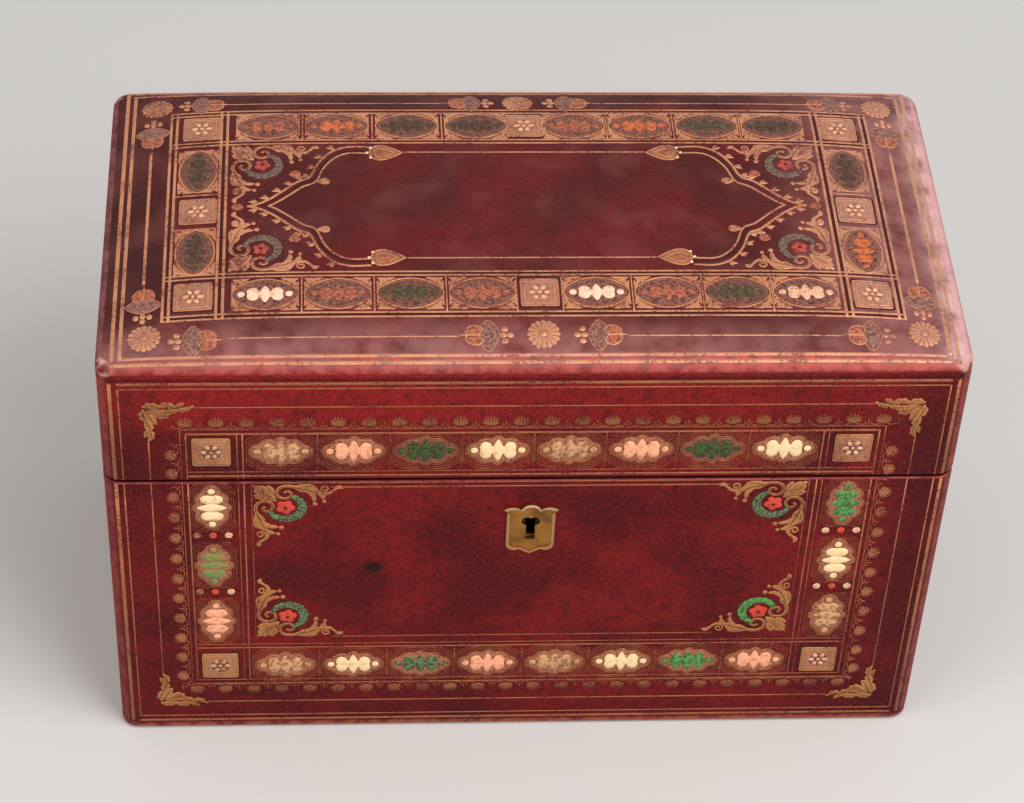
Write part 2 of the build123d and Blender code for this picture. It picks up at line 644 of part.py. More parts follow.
GUIDE_XS = (
    BAR_RIGHT - 2 * GUIDE_RADIUS - GUIDE_CLEARANCE - BOLT_CLEARANCE,
    HOOK_XS[0] + HOOK_STEM + BOLT_CLEARANCE,
)
BAR_MIDDLE = (BAR_TOP + BAR_BOTTOM) / 2

with BuildPart() as lock_plate:
    with BuildSketch(front_plane(LOCK_BACK)):
        with Locations((0, (CASE_TOP + LOCK_PLATE_BOTTOM) / 2)):
            Rectangle(LOCK_PLATE_WIDTH, CASE_TOP - LOCK_PLATE_BOTTOM)
        with Locations((KEY_X, KEY_Z)):
            Circle(DRILL_PIN_RADIUS, mode=Mode.SUBTRACT)
        for guide_x in GUIDE_XS:
            with Locations((guide_x, BAR_MIDDLE)):
                Circle(GUIDE_RADIUS, mode=Mode.SUBTRACT)
    extrude(amount=LOCK_SHEET)
    screw_holes(PLATE_SCREWS, PLATE_SCREW_LENGTH)
save(lock_plate.part, "lock_plate")

with BuildPart() as drill_pin:
    with BuildSketch(front_plane(LOCK_BACK)):
        with Locations((KEY_X, KEY_Z)):
            Circle(DRILL_PIN_RADIUS)
    extrude(amount=LOCK_SHEET + DRILL_PIN_LENGTH)
    chamfer(faces().sort_by(Axis.Y)[0].edges(), DRILL_PIN_RADIUS / 2)
save(drill_pin.part, "drill_pin")

with BuildPart() as bolt_guides:
    with BuildSketch(front_plane(LOCK_BACK)):
        for guide_x in GUIDE_XS:
            with Locations((guide_x, BAR_MIDDLE)):
                Circle(GUIDE_RADIUS)
    extrude(amount=LOCK_BACK - LOCK_FRONT - LOCK_SHEET)
save(bolt_guides.part, "bolt_guides")


def hook_slots():
    """Slots in the selvedge that let the hooks down, with room for their swing."""
    for hook_x in HOOK_XS:
        left = hook_x - HOOK_TOE - HOOK_CLEARANCE
        right = hook_x + HOOK_STEM + HOOK_CLEARANCE
        with Locations(((left + right) / 2, LOCK_MIDDLE)):
            Rectangle(right - left, HOOK_THICKNESS + 2 * HOOK_CLEARANCE, mode=Mode.SUBTRACT)


with BuildPart() as selvedge_plate:
    with BuildSketch(Plane.XY.offset(CASE_TOP)):
        with Locations((0, (LOCK_FRONT + LOCK_BACK) / 2)):
            Rectangle(LOCK_PLATE_WIDTH, LOCK_BACK - LOCK_FRONT)
        hook_slots()
    extrude(amount=SELVEDGE)
    screw_holes(SELVEDGE_SCREWS)
save(selvedge_plate.part, "selvedge_plate")

with BuildPart() as lock_screws:
    add(screw_group(SELVEDGE_SCREWS))
    add(screw_group(PLATE_SCREWS, PLATE_SCREW_LENGTH))
save(lock_screws.part, "lock_screws")

# The bolt: a slotted bar with two hooked claws, and a talon notch for the key's bit.
BOLT_BACK = LOCK_MIDDLE + BOLT_THICKNESS / 2

with BuildPart() as lock_bolt:
    with BuildSketch(front_plane(BOLT_BACK)):
        with Locations(((BAR_LEFT + BAR_RIGHT) / 2, BAR_MIDDLE)):
            Rectangle(BAR_RIGHT - BAR_LEFT, BOLT_BAR)
        for hook_x in HOOK_XS:
            tip = hook_x - FINGER_REACH
            post_left = tip - HOOK_TOE - BOLT_POST
            with Locations((post_left + BOLT_POST / 2, (BAR_MIDDLE + FINGER_TOP) / 2)):
                Rectangle(BOLT_POST, FINGER_TOP - BAR_MIDDLE)
            with Locations(((post_left + tip) / 2, (FINGER_BOTTOM + FINGER_TOP) / 2)):
                Rectangle(tip - post_left, BOLT_FINGER)
        with Locations((KEY_X - BOLT_THROW / 2, BAR_BOTTOM)):
            Circle(TALON_RADIUS, mode=Mode.SUBTRACT)
        for guide_x in GUIDE_XS:
            slot_radius = GUIDE_RADIUS + GUIDE_CLEARANCE
            with Locations((guide_x - BOLT_THROW / 2, BAR_MIDDLE)):
                SlotCenterToCenter(BOLT_THROW, 2 * slot_radius, mode=Mode.SUBTRACT)
    extrude(amount=BOLT_THICKNESS)
save(lock_bolt.part, "lock_bolt")

# A bowed strip on the bar that rubs under the selvedge and holds the bolt where it is put.
SPRING_LEFT = HOOK_XS[0] + HOOK_STEM + HOOK_CLEARANCE + BOLT_CLEARANCE
SPRING_RIGHT = HOOK_XS[1] - FINGER_REACH - HOOK_TOE - BOLT_POST - BOLT_CLEARANCE
SPRING_CREST = CASE_TOP - BOLT_CLEARANCE

with BuildPart() as bolt_spring:
    with BuildSketch(front_plane(LOCK_MIDDLE + HOOK_THICKNESS / 2)):
        middle_x = (SPRING_LEFT + SPRING_RIGHT) / 2
        with BuildLine():
            ThreePointArc((SPRING_LEFT, BAR_TOP), (middle_x, SPRING_CREST), (SPRING_RIGHT, BAR_TOP))
            Line((SPRING_RIGHT, BAR_TOP), (SPRING_RIGHT - BOLT_SPRING, BAR_TOP))
            ThreePointArc(
                (SPRING_RIGHT - BOLT_SPRING, BAR_TOP),
                (middle_x, SPRING_CREST - BOLT_SPRING),
                (SPRING_LEFT + BOLT_SPRING, BAR_TOP),
            )
            Line((SPRING_LEFT + BOLT_SPRING, BAR_TOP), (SPRING_LEFT, BAR_TOP))
        make_face()
    extrude(amount=HOOK_THICKNESS)
save(bolt_spring.part, "bolt_spring")

with BuildPart() as link_plate:
    add(link_mortise())
    with BuildSketch(front_plane(LOCK_MIDDLE + HOOK_THICKNESS / 2)):
        for hook_x in HOOK_XS:
            stem_middle = hook_x + HOOK_STEM / 2
            with Locations((stem_middle, (LID_BOTTOM + HOOK_BOTTOM) / 2)):
                Rectangle(HOOK_STEM, LID_BOTTOM - HOOK_BOTTOM)
            with Locations((hook_x - HOOK_TOE / 2, (HOOK_BOTTOM + TOE_TOP) / 2)):
                Rectangle(HOOK_TOE, HOOK_TOE_HEIGHT)
    extrude(amount=HOOK_THICKNESS)
    toe_tips = edges().filter_by(Axis.Y).group_by(Axis.Z)[0]
    fillet(toe_tips, HOOK_TOE_HEIGHT / 3)
    screw_holes(LINK_SCREWS)
save(link_plate.part, "link_plate")
save(screw_group(LINK_SCREWS), "link_plate_screws")

# ------------------------------------------------------------------------ escutcheon

with BuildPart() as escutcheon:
    skin_y = -DEPTH / 2
    with BuildSketch(front_plane(skin_y + ESCUTCHEON_LET_IN)):
        escutcheon_outline()
    extrude(amount=ESCUTCHEON_LET_IN + ESCUTCHEON_PROUD)
    with BuildSketch(front_plane(skin_y - ESCUTCHEON_PROUD + ESCUTCHEON_PANEL)):
        escutcheon_outline(ESCUTCHEON_BORDER)
    extrude(amount=ESCUTCHEON_PANEL, mode=Mode.SUBTRACT)
    add(
        keyhole_cutter(skin_y - ESCUTCHEON_PROUD, skin_y + ESCUTCHEON_LET_IN, 0),
        mode=Mode.SUBTRACT,
    )
    with BuildSketch(front_plane(skin_y + ESCUTCHEON_LET_IN + SPUR_LENGTH)):
        with Locations(*spur_places()):
            Circle(SPUR_RADIUS)
    extrude(amount=SPUR_LENGTH)
save(escutcheon.part, "escutcheon")

# ---------------------------------------------------------------------------- hinges


def hinge_leaf(hinge_x, direction):
    """One leaf with its knuckles: two outer ones on the base, the middle one on the lid."""
    rim = SEAM_HEIGHT + direction * SEAM_GAP / 2
    half_gap = LID_KNUCKLE / 2 + KNUCKLE_GAP
    outer_length = HINGE_LENGTH / 2 - half_gap
    if direction > 0:
        own = [(hinge_x - LID_KNUCKLE / 2, LID_KNUCKLE)]
        others = [(hinge_x - HINGE_LENGTH / 2, HINGE_LENGTH / 2 - LID_KNUCKLE / 2)]
        others.append((hinge_x + LID_KNUCKLE / 2, HINGE_LENGTH / 2 - LID_KNUCKLE / 2))
        bore = PIN_RADIUS + PIN_CLEARANCE
    else:
        own = [(hinge_x - HINGE_LENGTH / 2, outer_length), (hinge_x + half_gap, outer_length)]
        others = [(hinge_x - half_gap, 2 * half_gap)]
        bore = PIN_RADIUS
    with BuildPart() as leaf:
        with BuildSketch(Plane.YZ.offset(hinge_x - HINGE_LENGTH / 2)):
            with Locations(((LEAF_FRONT + HINGE_Y) / 2, rim + direction * LEAF / 2)):
                Rectangle(HINGE_Y - LEAF_FRONT, LEAF)
        extrude(amount=HINGE_LENGTH)
        for start, length in others:
            with BuildSketch(Plane.YZ.offset(start)):
                with Locations((HINGE_Y, SEAM_HEIGHT)):
                    Circle(BARREL_RADIUS + BARREL_CLEARANCE)
            extrude(amount=length, mode=Mode.SUBTRACT)
        for start, length in own:
            with BuildSketch(Plane.YZ.offset(start)):
                with Locations((HINGE_Y, SEAM_HEIGHT)):
                    Circle(BARREL_RADIUS)
            extrude(amount=length)
        with BuildSketch(Plane.YZ.offset(hinge_x - HINGE_LENGTH / 2)):
            with Locations((HINGE_Y, SEAM_HEIGHT)):
                Circle(bore)
        extrude(amount=HINGE_LENGTH, mode=Mode.SUBTRACT)
        screw_holes(LID_HINGE_SCREWS if direction > 0 else BASE_HINGE_SCREWS)
    return leaf.part


for hinge_x, hinge_side in zip(HINGE_XS, ("left", "right")):
    save(hinge_leaf(hinge_x, -1), f"base_leaf_{hinge_side}")
    save(hinge_leaf(hinge_x, 1), f"lid_leaf_{hinge_side}")
    with BuildPart() as hinge_pin:
        with BuildSketch(Plane.YZ.offset(hinge_x - HINGE_LENGTH / 2)):
            with Locations((HINGE_Y, SEAM_HEIGHT)):
                Circle(PIN_RADIUS)
        extrude(amount=HINGE_LENGTH)
    save(hinge_pin.part, f"hinge_pin_{hinge_side}")

save(screw_group(BASE_HINGE_SCREWS), "base_hinge_screws")
save(screw_group(LID_HINGE_SCREWS), "lid_hinge_screws")

# ------------------------------------------------------------------------------- lid

with BuildPart() as lid_top:
    add(domed_block(WOOD_WIDTH, WOOD_DEPTH, WOOD_RADIUS, RAIL_TOP, EDGE_HEIGHT - LEATHER))
save(lid_top.part, "lid_top")

with BuildPart() as lid_front_rail:
    add(long_wall(-1, LID_WOOD_BOTTOM, RAIL_TOP))
    add(link_mortise(), mode=Mode.SUBTRACT)
    screw_holes(LINK_SCREWS)
save(lid_front_rail.part, "lid_front_rail")

with BuildPart() as lid_back_rail:
    add(long_wall(1, LID_WOOD_BOTTOM, RAIL_TOP))
    add(bevel_cutter(1, LEATHER), mode=Mode.SUBTRACT)
    add(hinge_mortise(1), mode=Mode.SUBTRACT)
    screw_holes(LID_HINGE_SCREWS)
save(lid_back_rail.part, "lid_back_rail")

for end_side, end_name in ((-1, "lid_left_rail"), (1, "lid_right_rail")):
    save(end_wall(end_side, LID_WOOD_BOTTOM, RAIL_TOP), end_name)

with BuildPart() as lid_leather:
    add(domed_block(WIDTH, DEPTH, CORNER_RADIUS, LID_BOTTOM, EDGE_HEIGHT))
    fillet(faces().sort_by(Axis.Z)[-1].edges(), LID_EDGE_RADIUS)
    chamfer(faces().sort_by(Axis.Z)[0].edges(), RIM_CHAMFER)
    add(bevel_cutter(1, 0), mode=Mode.SUBTRACT)
    add(carcass_block(LID_WOOD_BOTTOM, RAIL_TOP, 1), mode=Mode.SUBTRACT)
    add(lid_top.part, mode=Mode.SUBTRACT)
    with BuildSketch(Plane.XY.offset(LID_BOTTOM)):
        Rectangle(INNER_WIDTH, INNER_DEPTH)
    extrude(amount=RAIL_TOP - LID_BOTTOM, mode=Mode.SUBTRACT)
    add(hinge_mortise(1), mode=Mode.SUBTRACT)
    add(link_mortise(), mode=Mode.SUBTRACT)
save(lid_leather.part, "lid_leather")

with BuildPart() as lid_lining:
    with BuildSketch(Plane.XY.offset(LID_WOOD_BOTTOM)):
        Rectangle(INNER_WIDTH, INNER_DEPTH)
    extrude(amount=RAIL_TOP - LID_WOOD_BOTTOM)
    with BuildSketch(Plane.XY.offset(LID_WOOD_BOTTOM)):
        Rectangle(INNER_WIDTH - 2 * LID_LINING, INNER_DEPTH - 2 * LID_LINING)
    extrude(amount=RAIL_TOP - LID_WOOD_BOTTOM - LID_LINING, mode=Mode.SUBTRACT)
save(lid_lining.part, "lid_lining")

with BuildPart() as lid_pad:
    pad_top = RAIL_TOP - LID_LINING
    with BuildSketch(Plane.XY.offset(pad_top - PAD_THICKNESS)):
        RectangleRounded(INNER_WIDTH - 2 * PAD_BORDER, INNER_DEPTH - 2 * PAD_BORDER, PAD_CORNER)
    extrude(amount=PAD_THICKNESS)
    chamfer(faces().sort_by(Axis.Z)[0].edges(), PAD_CHAMFER)
save(lid_pad.part, "lid_pad")
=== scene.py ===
# %% [markdown]
# # A leather stationery box, tooled in gold
# The box is a wooden carcass in red morocco. Gold lines and stamps are pressed into the
# leather, and thin coloured leathers, called onlays, are pasted on between them. The CAD part
# already has the carcass, lock, hinges and escutcheon at their real sizes, so this lesson adds
# what is thinner than a millimetre: finishes, tooling, onlays and the silk pad in the lid.

# %% Start from the CAD frame
import json
import math

import bpy
import numpy as np
from mathutils import Matrix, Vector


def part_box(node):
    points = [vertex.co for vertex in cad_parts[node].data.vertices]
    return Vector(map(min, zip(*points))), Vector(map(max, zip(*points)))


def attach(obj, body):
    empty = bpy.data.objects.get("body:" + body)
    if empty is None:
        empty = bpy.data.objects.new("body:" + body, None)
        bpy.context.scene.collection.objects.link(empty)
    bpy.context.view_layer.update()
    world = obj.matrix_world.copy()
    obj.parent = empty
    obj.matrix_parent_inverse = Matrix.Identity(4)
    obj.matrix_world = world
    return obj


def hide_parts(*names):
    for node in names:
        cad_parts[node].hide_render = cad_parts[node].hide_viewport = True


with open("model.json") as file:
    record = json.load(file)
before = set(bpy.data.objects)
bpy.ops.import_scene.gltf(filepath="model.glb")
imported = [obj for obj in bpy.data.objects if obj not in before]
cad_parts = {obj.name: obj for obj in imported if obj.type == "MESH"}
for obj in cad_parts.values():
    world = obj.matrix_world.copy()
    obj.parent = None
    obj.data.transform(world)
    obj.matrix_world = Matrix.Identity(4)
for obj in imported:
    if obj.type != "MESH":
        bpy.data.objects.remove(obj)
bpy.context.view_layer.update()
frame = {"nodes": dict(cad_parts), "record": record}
MM = 0.001

# %% [markdown]
# ## Colours and nodes
# Hex colours are written the way a screen shows them, but Blender mixes light in linear
# numbers, so one function turns one into the other. Every material is a small graph. A second
# function adds any node, sets it and links it in one call, so a graph reads as a list of sums:
# `add("ADD", a, b)` is a Math node, and `add("Mix", amount, "#550a0f", skin)` mixes colours.


# %% Linear colours, and one way to add a node
def colour(code):
    """Linear RGBA of an sRGB hex code: c / 12.92 to 0.04045, then ((c + 0.055) / 1.055)^2.4."""
    c = np.array([int(code[i : i + 2], 16) for i in (1, 3, 5)]) / 255
    linear = np.where(c <= 0.04045, c / 12.92, ((c + 0.055) / 1.055) ** 2.4)
    return (*linear.tolist(), 1.0)


# Which inputs the values go to, where they aren't simply the first ones.
INPUTS = {"Mix": (0, 6, 7), "MapRange": (0, 1, 2, 4), "Mapping": ("Vector", "Scale"),
          "TexNoise": ("Vector", "Scale", "Detail", "Roughness"),
          "TexVoronoi": ("Vector", "Scale"), "Bump": ("Height", "Distance", "Strength")}
# A range here always rises smoothly, from 0 to its last value, or to 1.
ALWAYS = {"Mix": {"data_type": "RGBA"}, "MapRange": {"interpolation_type": "SMOOTHSTEP"}}


def feed(node, sockets):
    """Sets a node's inputs to numbers or hex colours, or links them to other nodes' outputs."""
    for name, value in sockets.items():
        if isinstance(value, bpy.types.NodeSocket):
            node.id_data.links.new(value, node.inputs[name])
        else:
            node.inputs[name].default_value = colour(value) if isinstance(value, str) else value


def add(kind, *values, **settings):
    """Adds a node beside the first output among its values and returns its own output. A kind in
    capitals is a Math node's operation."""
    nodes = next(v for v in values if isinstance(v, bpy.types.NodeSocket)).id_data.nodes
    made = nodes.new("ShaderNodeMath" if kind.isupper() else "ShaderNode" + kind)
    settings = {"operation": kind} if kind.isupper() else {**ALWAYS.get(kind, {}), **settings}
    for name, value in settings.items():
        setattr(made, name, value)
    feed(made, dict(zip(INPUTS.get(kind, range(len(values))), values)))
    return made.outputs[2 if kind == "Mix" else 0]


def per(size):
    """Texture scale of a pattern that repeats every `size` mm: Object coordinates are metres."""
    return 1 / (size * MM)


print("morocco red in linear numbers:", [round(c, 3) for c in colour("#671c1d")])

# %% [markdown]
# ## Finishes
# A finish starts from what the real thing is. `new_finish` gives the shader with the numbers
# that stay the same all over it; noise and bump then change what varies. Patterns read Object
# coordinates, because every piece keeps its place in its mesh, so one pattern runs on
# unbroken from piece to piece.

# %% One start for every finish
finishes = {}


def new_finish(name, **constants):
    """A named material: returns its Principled shader and its Object coordinates."""
    made = finishes[name] = bpy.data.materials.new(name)
    made.use_nodes = True
    shader = made.node_tree.nodes["Principled BSDF"]
    feed(shader, {socket.replace("_", " "): value for socket, value in constants.items()})
    return shader, made.node_tree.nodes.new("ShaderNodeTexCoord").outputs["Object"]


print("a 1 mm pattern has the scale", per(1))

# %% Dust and painted sheen, which lie on the leather and the gold of the lid
LID_TOP = 0.1425, 0.1445  # metres above the table: the walls end, the lid's top begins


def dust_and_sheen(place, floor=0.0):
    """Dust with painted sheen on the lid, most toward its front and right: 0 to about 0.8, places
    in metres.
    """
    x, y, z = add("SeparateXYZ", place).node.outputs
    # Toward the front and right this is partly painted sheen, where the lid's curved margins face
    # the lamp.
    front = add("MapRange", add("MULTIPLY", y, -1.0), 0.037, 0.054, 0.42)
    front = add("SUBTRACT", front, add("MapRange", x, 0.0, 0.05, 0.1))
    right = add("ADD", add("MapRange", x, 0.06, 0.1, 0.42),
                add("MapRange", x, 0.106, 0.1125, 0.42))
    edge = add("ADD", floor, add("MAXIMUM", front, right))
    on_lid = add("MULTIPLY", edge, add("MapRange", z, *LID_TOP))
    cloud = add("TexNoise", place, per(7), 5.0)
    return add("MULTIPLY", on_lid, add("MapRange", cloud, 0.1, 0.7, 1.15))


print("dust from", round(LID_TOP[0] / MM, 1), "mm up")

# %% [markdown]
# ### Morocco
# Morocco is goatskin, dyed and then boarded, which means rolled under a cork board until fine
# pebbles rise all over it. They are 0.7 to 1 mm wide. Age does the rest: the dye has gone
# patchy, dust dulls the lid, and hands have rubbed the corners, the seam and the bottom edge
# down to paler skin. Light and shade are painted in as well: painted shade at the margins, above
# the foot, below the roll and inside the seam, and painted sheen and highlight on the lid's
# front, right edge and rolls. The rubbed places are found by adding coordinates together: the sum
# of two distances from the middle is largest on the rounded edge between two faces.

# %% Morocco leather: its noises, and where it is shaded, aged and stained
PEBBLE = 0.85  # mm
SEAM_MIDDLE, ROLL_SHADOW = 0.1027, 0.1401  # heights in metres, as all places in a finish are
shader, place = new_finish("morocco_leather", IOR=1.5, Specular_IOR_Level=0.12)
x, y, z = add("SeparateXYZ", place).node.outputs
patches = add("TexNoise", place, per(26), 4.0)
mottle = add("TexNoise", place, per(3.4), 5.0)
speckle = add("TexNoise", place, per(0.9), 3.0)
smudges = add("TexNoise", place, per(15), 2.0)
pebbles = add("TexVoronoi", place, per(PEBBLE))

top = add("MapRange", z, *LID_TOP)
# A brighter band along the lid's front.
band = add("MULTIPLY", add("MapRange", z, 0.117, 0.129, 0.5), add("SUBTRACT", 1.0, top))
band = add("MULTIPLY", band, add("SUBTRACT", 1.0, add("MapRange", x, 0.02, 0.09, 0.5)))
# A painted shadow: a dark line just below the lid's roll.
painted_roll_shadow = add("ABSOLUTE", add("SUBTRACT", z, ROLL_SHADOW))
aged = add("SUBTRACT", 0.76, add("MapRange", patches, 0.4, 0.62, 0.25))
# Painted shade on the lid's left and back margins, which face away from the lamps.
painted_margin_shade = add("MAXIMUM", add("MapRange", x, -0.096, -0.101, 0.5),
             add("MapRange", y, 0.0435, 0.047, 0.47))
# The colour of the dust and painted sheen, whiter toward the right edge as a painted highlight.
dust_and_sheen_film = add("Mix", add("MapRange", x, 0.104, 0.111), "#bd807a", "#dcb0ae")
# A dark stain on the front, left of the lock: an ellipse with a mottled edge.
stain_x = add("DIVIDE", add("ADD", x, 0.0426), 0.0042)
stain_z = add("DIVIDE", add("SUBTRACT", z, 0.0684), 0.003)
stain = add("ADD", add("MULTIPLY", stain_x, stain_x), add("MULTIPLY", stain_z, stain_z))
stain = add("ADD", stain, add("MULTIPLY", mottle, 1.6))
front_only = add("MapRange", y, -0.055, -0.056, 0.9)
print("finish: morocco_leather, pebbles", PEBBLE, "mm")

# %% Morocco leather: where hands have rubbed it, and painted highlight on its rolls
across, along = add("ABSOLUTE", x), add("ABSOLUTE", y)
around = add("ADD", across, along)
upright_corners = add("MapRange", around, 0.1691, 0.16957, 0.4)
# The lid's rolled edges are rubbed, and also painted paler as a highlight where they catch the
# light.
front_roll = add("MapRange", add("ADD", along, z), 0.1990, 0.2003)
right_roll = add("MapRange", add("ADD", x, z), 0.2565, 0.2574, 0.85)
left_roll = add("MapRange", add("SUBTRACT", z, x), 0.25745, 0.2578, 0.4)
side_roll = add("MAXIMUM", left_roll, right_roll)
foot = add("MapRange", z, 0.0035, 0.001)
seam = add("ABSOLUTE", add("SUBTRACT", z, SEAM_MIDDLE))
rims = add("MapRange", seam, 0.0011, 0.0007, 0.6)
worn = add("MAXIMUM", add("MAXIMUM", upright_corners, front_roll),
           add("MAXIMUM", side_roll, add("MAXIMUM", foot, rims)))
patchy = add("MapRange", mottle, 0.36, 0.64)
# Stronger toward the right, where it also stands for painted highlight.
amount = add("ADD", add("MapRange", x, 0.0, 0.08, 0.22), add("MULTIPLY", patchy, 0.62))
worn = add("MULTIPLY", worn, add("ADD", 0.22, amount))
# Paler still on the lid's side rolls, as a painted highlight.
bare = add("Mix", add("MULTIPLY", side_roll, top), "#bc5a54", "#dba6a2")
tips = add("MapRange", add("ADD", around, z), 0.3098, 0.3112, 0.85)
print("rubbed: upright corners, front and side rolls, foot, rims and the lid's tips")

# %% Morocco leather: one layer of colour over another
LAYERS = (
    (band, "#a82421"),
    (add("MapRange", x, 0.09, 0.106, 0.55), "#360b0e"),  # painted shade at the right margin
    (add("MapRange", x, -0.092, -0.106, 0.3), "#360b0e"),  # painted shade at the left margin
    (add("MapRange", z, 0.014, 0.005, 0.22), "#360b0e"),  # painted shade above the foot
    (add("MapRange", painted_roll_shadow, 0.0009, 0.0003, 0.6), "#2c080a"),  # painted shadow below the roll
    (add("MapRange", mottle, 0.44, 0.72, 0.5), "#38070b"),
    (add("MapRange", speckle, 0.5, 0.74, 0.45), "#9c2420"),
    (add("MapRange", pebbles, 0.4, 0.7, 0.36), "#2a0508"),
    (add("MULTIPLY", top, aged), "#40100e"),  # the lid has browned
    # painted shade on the lid's left and back margins
    (add("MULTIPLY", top, painted_margin_shade), "#280c0b"),
    (add("MULTIPLY", top, add("MapRange", smudges, 0.46, 0.72, 0.12)), "#a8625c"),
    # dust, with painted sheen toward the lid's front and right
    (dust_and_sheen(place, 0.03), dust_and_sheen_film),
    (add("MULTIPLY", add("MapRange", stain, 1.7, 0.9), front_only), "#240608"),
    # rubbed paler skin, with painted highlight on the rolls
    (worn, bare),
    (add("MULTIPLY", tips, patchy), "#d8a398"),
    (add("MULTIPLY", foot, patchy), "#9c5a34"),
    (add("MapRange", seam, 0.00062, 0.00045), "#3d0c0e"),  # painted shade inside the seam
)
skin = add("Mix", add("MapRange", patches, 0.34, 0.66), "#550a0f", "#7d1316")
for part_covered, dye in LAYERS:
    skin = add("Mix", part_covered, skin, dye)
creases = add("TexNoise", place, per(2.6), 5.0)
grain = add("SUBTRACT", creases, add("MULTIPLY", pebbles, 0.7))
feed(shader, {"Base Color": skin,
              "Roughness": add("SUBTRACT", 0.66, add("MapRange", speckle, 0.3, 0.8, 0.2)),
              "Normal": add("Bump", grain, 0.25 * MM, 0.85)})
print("layers of colour:", len(LAYERS))

# %% [markdown]
# ### Gold leaf
# The binder brushes glair on the leather, lays leaf 0.0001 mm thick, and presses it in with a
# hot brass tool. Gold stays only where the tool touched. A century of wiping wears it through,
# so each gold finish is leaf over leather, and noise decides where the leather shows.


# %% Gold leaf, bright and worn
def gold_finish(name, leaf, bare, worn, metal=0.5):
    """Leaf over leather: leaf where fine noise is above `worn`, leather's own brown below it."""
    shader, place = new_finish(name, IOR=1.5, Specular_IOR_Level=0.35)
    fine = add("TexNoise", place, per(0.9), 4.0)
    broad = add("TexNoise", place, per(9), 2.0)
    both = add("ADD", add("MULTIPLY", fine, 0.65), add("MULTIPLY", broad, 0.35))
    left = add("MapRange", both, worn - 0.09, worn + 0.09)
    gilt = add("Mix", add("MapRange", fine, 0.35, 0.7, 0.45), leaf, bare)
    # Dust on the gold, with painted sheen toward the lid's front and right.
    dust_and_sheen_film = add("MULTIPLY", dust_and_sheen(place), 0.65)
    feed(shader, {"Base Color": add("Mix", dust_and_sheen_film, add("Mix", left, bare, gilt), "#cf9a8a"),
                  "Metallic": add("MULTIPLY", left, metal),
                  "Roughness": add("SUBTRACT", 0.62, add("MULTIPLY", left, 0.2)),
                  "Normal": add("Bump", fine, 0.08 * MM)})


GOLDS = {
    "gold_leaf": ("#da956a", "#7c3d30", 0.455),  # the lid's tooling
    "gold_leaf_rubbed": ("#b5744a", "#6a231b", 0.45),  # the front's long fillets
    "gold_leaf_faint": ("#a5683c", "#641c17", 0.47),  # border rolls and inner lines
    "gold_leaf_ochre": ("#c98a50", "#7c3d26", 0.44),  # the front's leaves
    "gold_stamp": ("#cc8a62", "#7e4a36", 0.44, 0.25),  # the front's square stamps
    "gold_stamp_dusty": ("#bd8066", "#7c4a3a", 0.44, 0.25),  # the lid's square stamps
}
for name, recipe in GOLDS.items():
    gold_finish(name, *recipe)
print("finishes:", *GOLDS)

# %% [markdown]
# ### Onlays
# An onlay is calf or goat pared to 0.1 mm, dyed, and pasted on before the gold. Dye and surface
# rub off together, so cream turns tan at the high spots and green shows nearly black. The
# grooves round each one were blackened by the hot tool: that is the burnished leather, whose
# dark also stands for painted shade in the grooves.


# %% Coloured leathers
def onlay_finish(name, dye, stain, amount, size=1.6):
    """Thin dyed leather: the dye, with stain over the part of it that `amount` gives."""
    shader, place = new_finish(name, Roughness=0.55, IOR=1.5, Specular_IOR_Level=0.15)
    spots = add("TexNoise", place, per(size), 4.0, 0.6)
    centre = 0.72 - 0.42 * amount
    covered = add("MapRange", spots, centre - 0.1, centre + 0.12)
    feed(shader, {"Base Color": add("Mix", covered, dye, stain),
                  "Normal": add("Bump", spots, 0.1 * MM)})


ONLAYS = {
    "onlay_cream": ("#ffddaa", "#e6b278", 0.25),
    "onlay_peach": ("#ffd2b2", "#e09f7e", 0.3),
    "onlay_blush": ("#edb795", "#b97c60", 0.4, 0.8),
    "onlay_pink": ("#ffb18a", "#d98862", 0.35),
    "onlay_tan": ("#d7a172", "#906044", 0.45, 1.1),
    "onlay_green": ("#5f9a50", "#3d5c2c", 0.5, 1.2),
    "onlay_green_rubbed": ("#6a8c4c", "#b07a50", 0.5, 1.3),
    "onlay_moss": ("#46602c", "#3a3320", 0.55, 0.9),
    "onlay_fern": ("#595c36", "#4a3129", 0.6, 0.9),
    "onlay_olive": ("#5e4731", "#3f2a24", 0.55, 0.9),
    "onlay_grey_green": ("#7e6454", "#503a35", 0.5, 0.9),
    "onlay_leaf_green": ("#6c8658", "#453a30", 0.55, 0.9),
    "onlay_grey_brown": ("#99685c", "#5e3f38", 0.5, 0.8),
    "onlay_red": ("#d24a38", "#b03a2c", 0.35),
    "onlay_faded_red": ("#bb4d42", "#863a34", 0.45),
    "onlay_orange": ("#d8703f", "#94513a", 0.5, 1.1),
    "onlay_rose": ("#bf6e50", "#804638", 0.55, 0.9),
    "halo_tan": ("#b87a58", "#7c4434", 0.5, 0.8),
    "halo_plum": ("#8f5b4b", "#532f2e", 0.5, 0.9),
    "halo_slate": ("#805244", "#4d302b", 0.5, 0.8),
    # Burnished leather, dark also as painted shade in the tooled grooves.
    "burnished_leather": ("#42130f", "#300c0a", 0.4),
}
for name, recipe in ONLAYS.items():
    onlay_finish(name, *recipe)
print("finishes:", *ONLAYS)

# %% [markdown]
# ### Wood, paper, cloth and metal
# The rest are the finishes of the CAD part's own pieces. Wood is fine noise stretched along
# the grain. Watered silk, or moire, is two layers of ribs pressed together: where the ribs
# cross at a slight angle they flatten in wavy bands, and a wave texture with a lot of
# distortion draws the same bands.

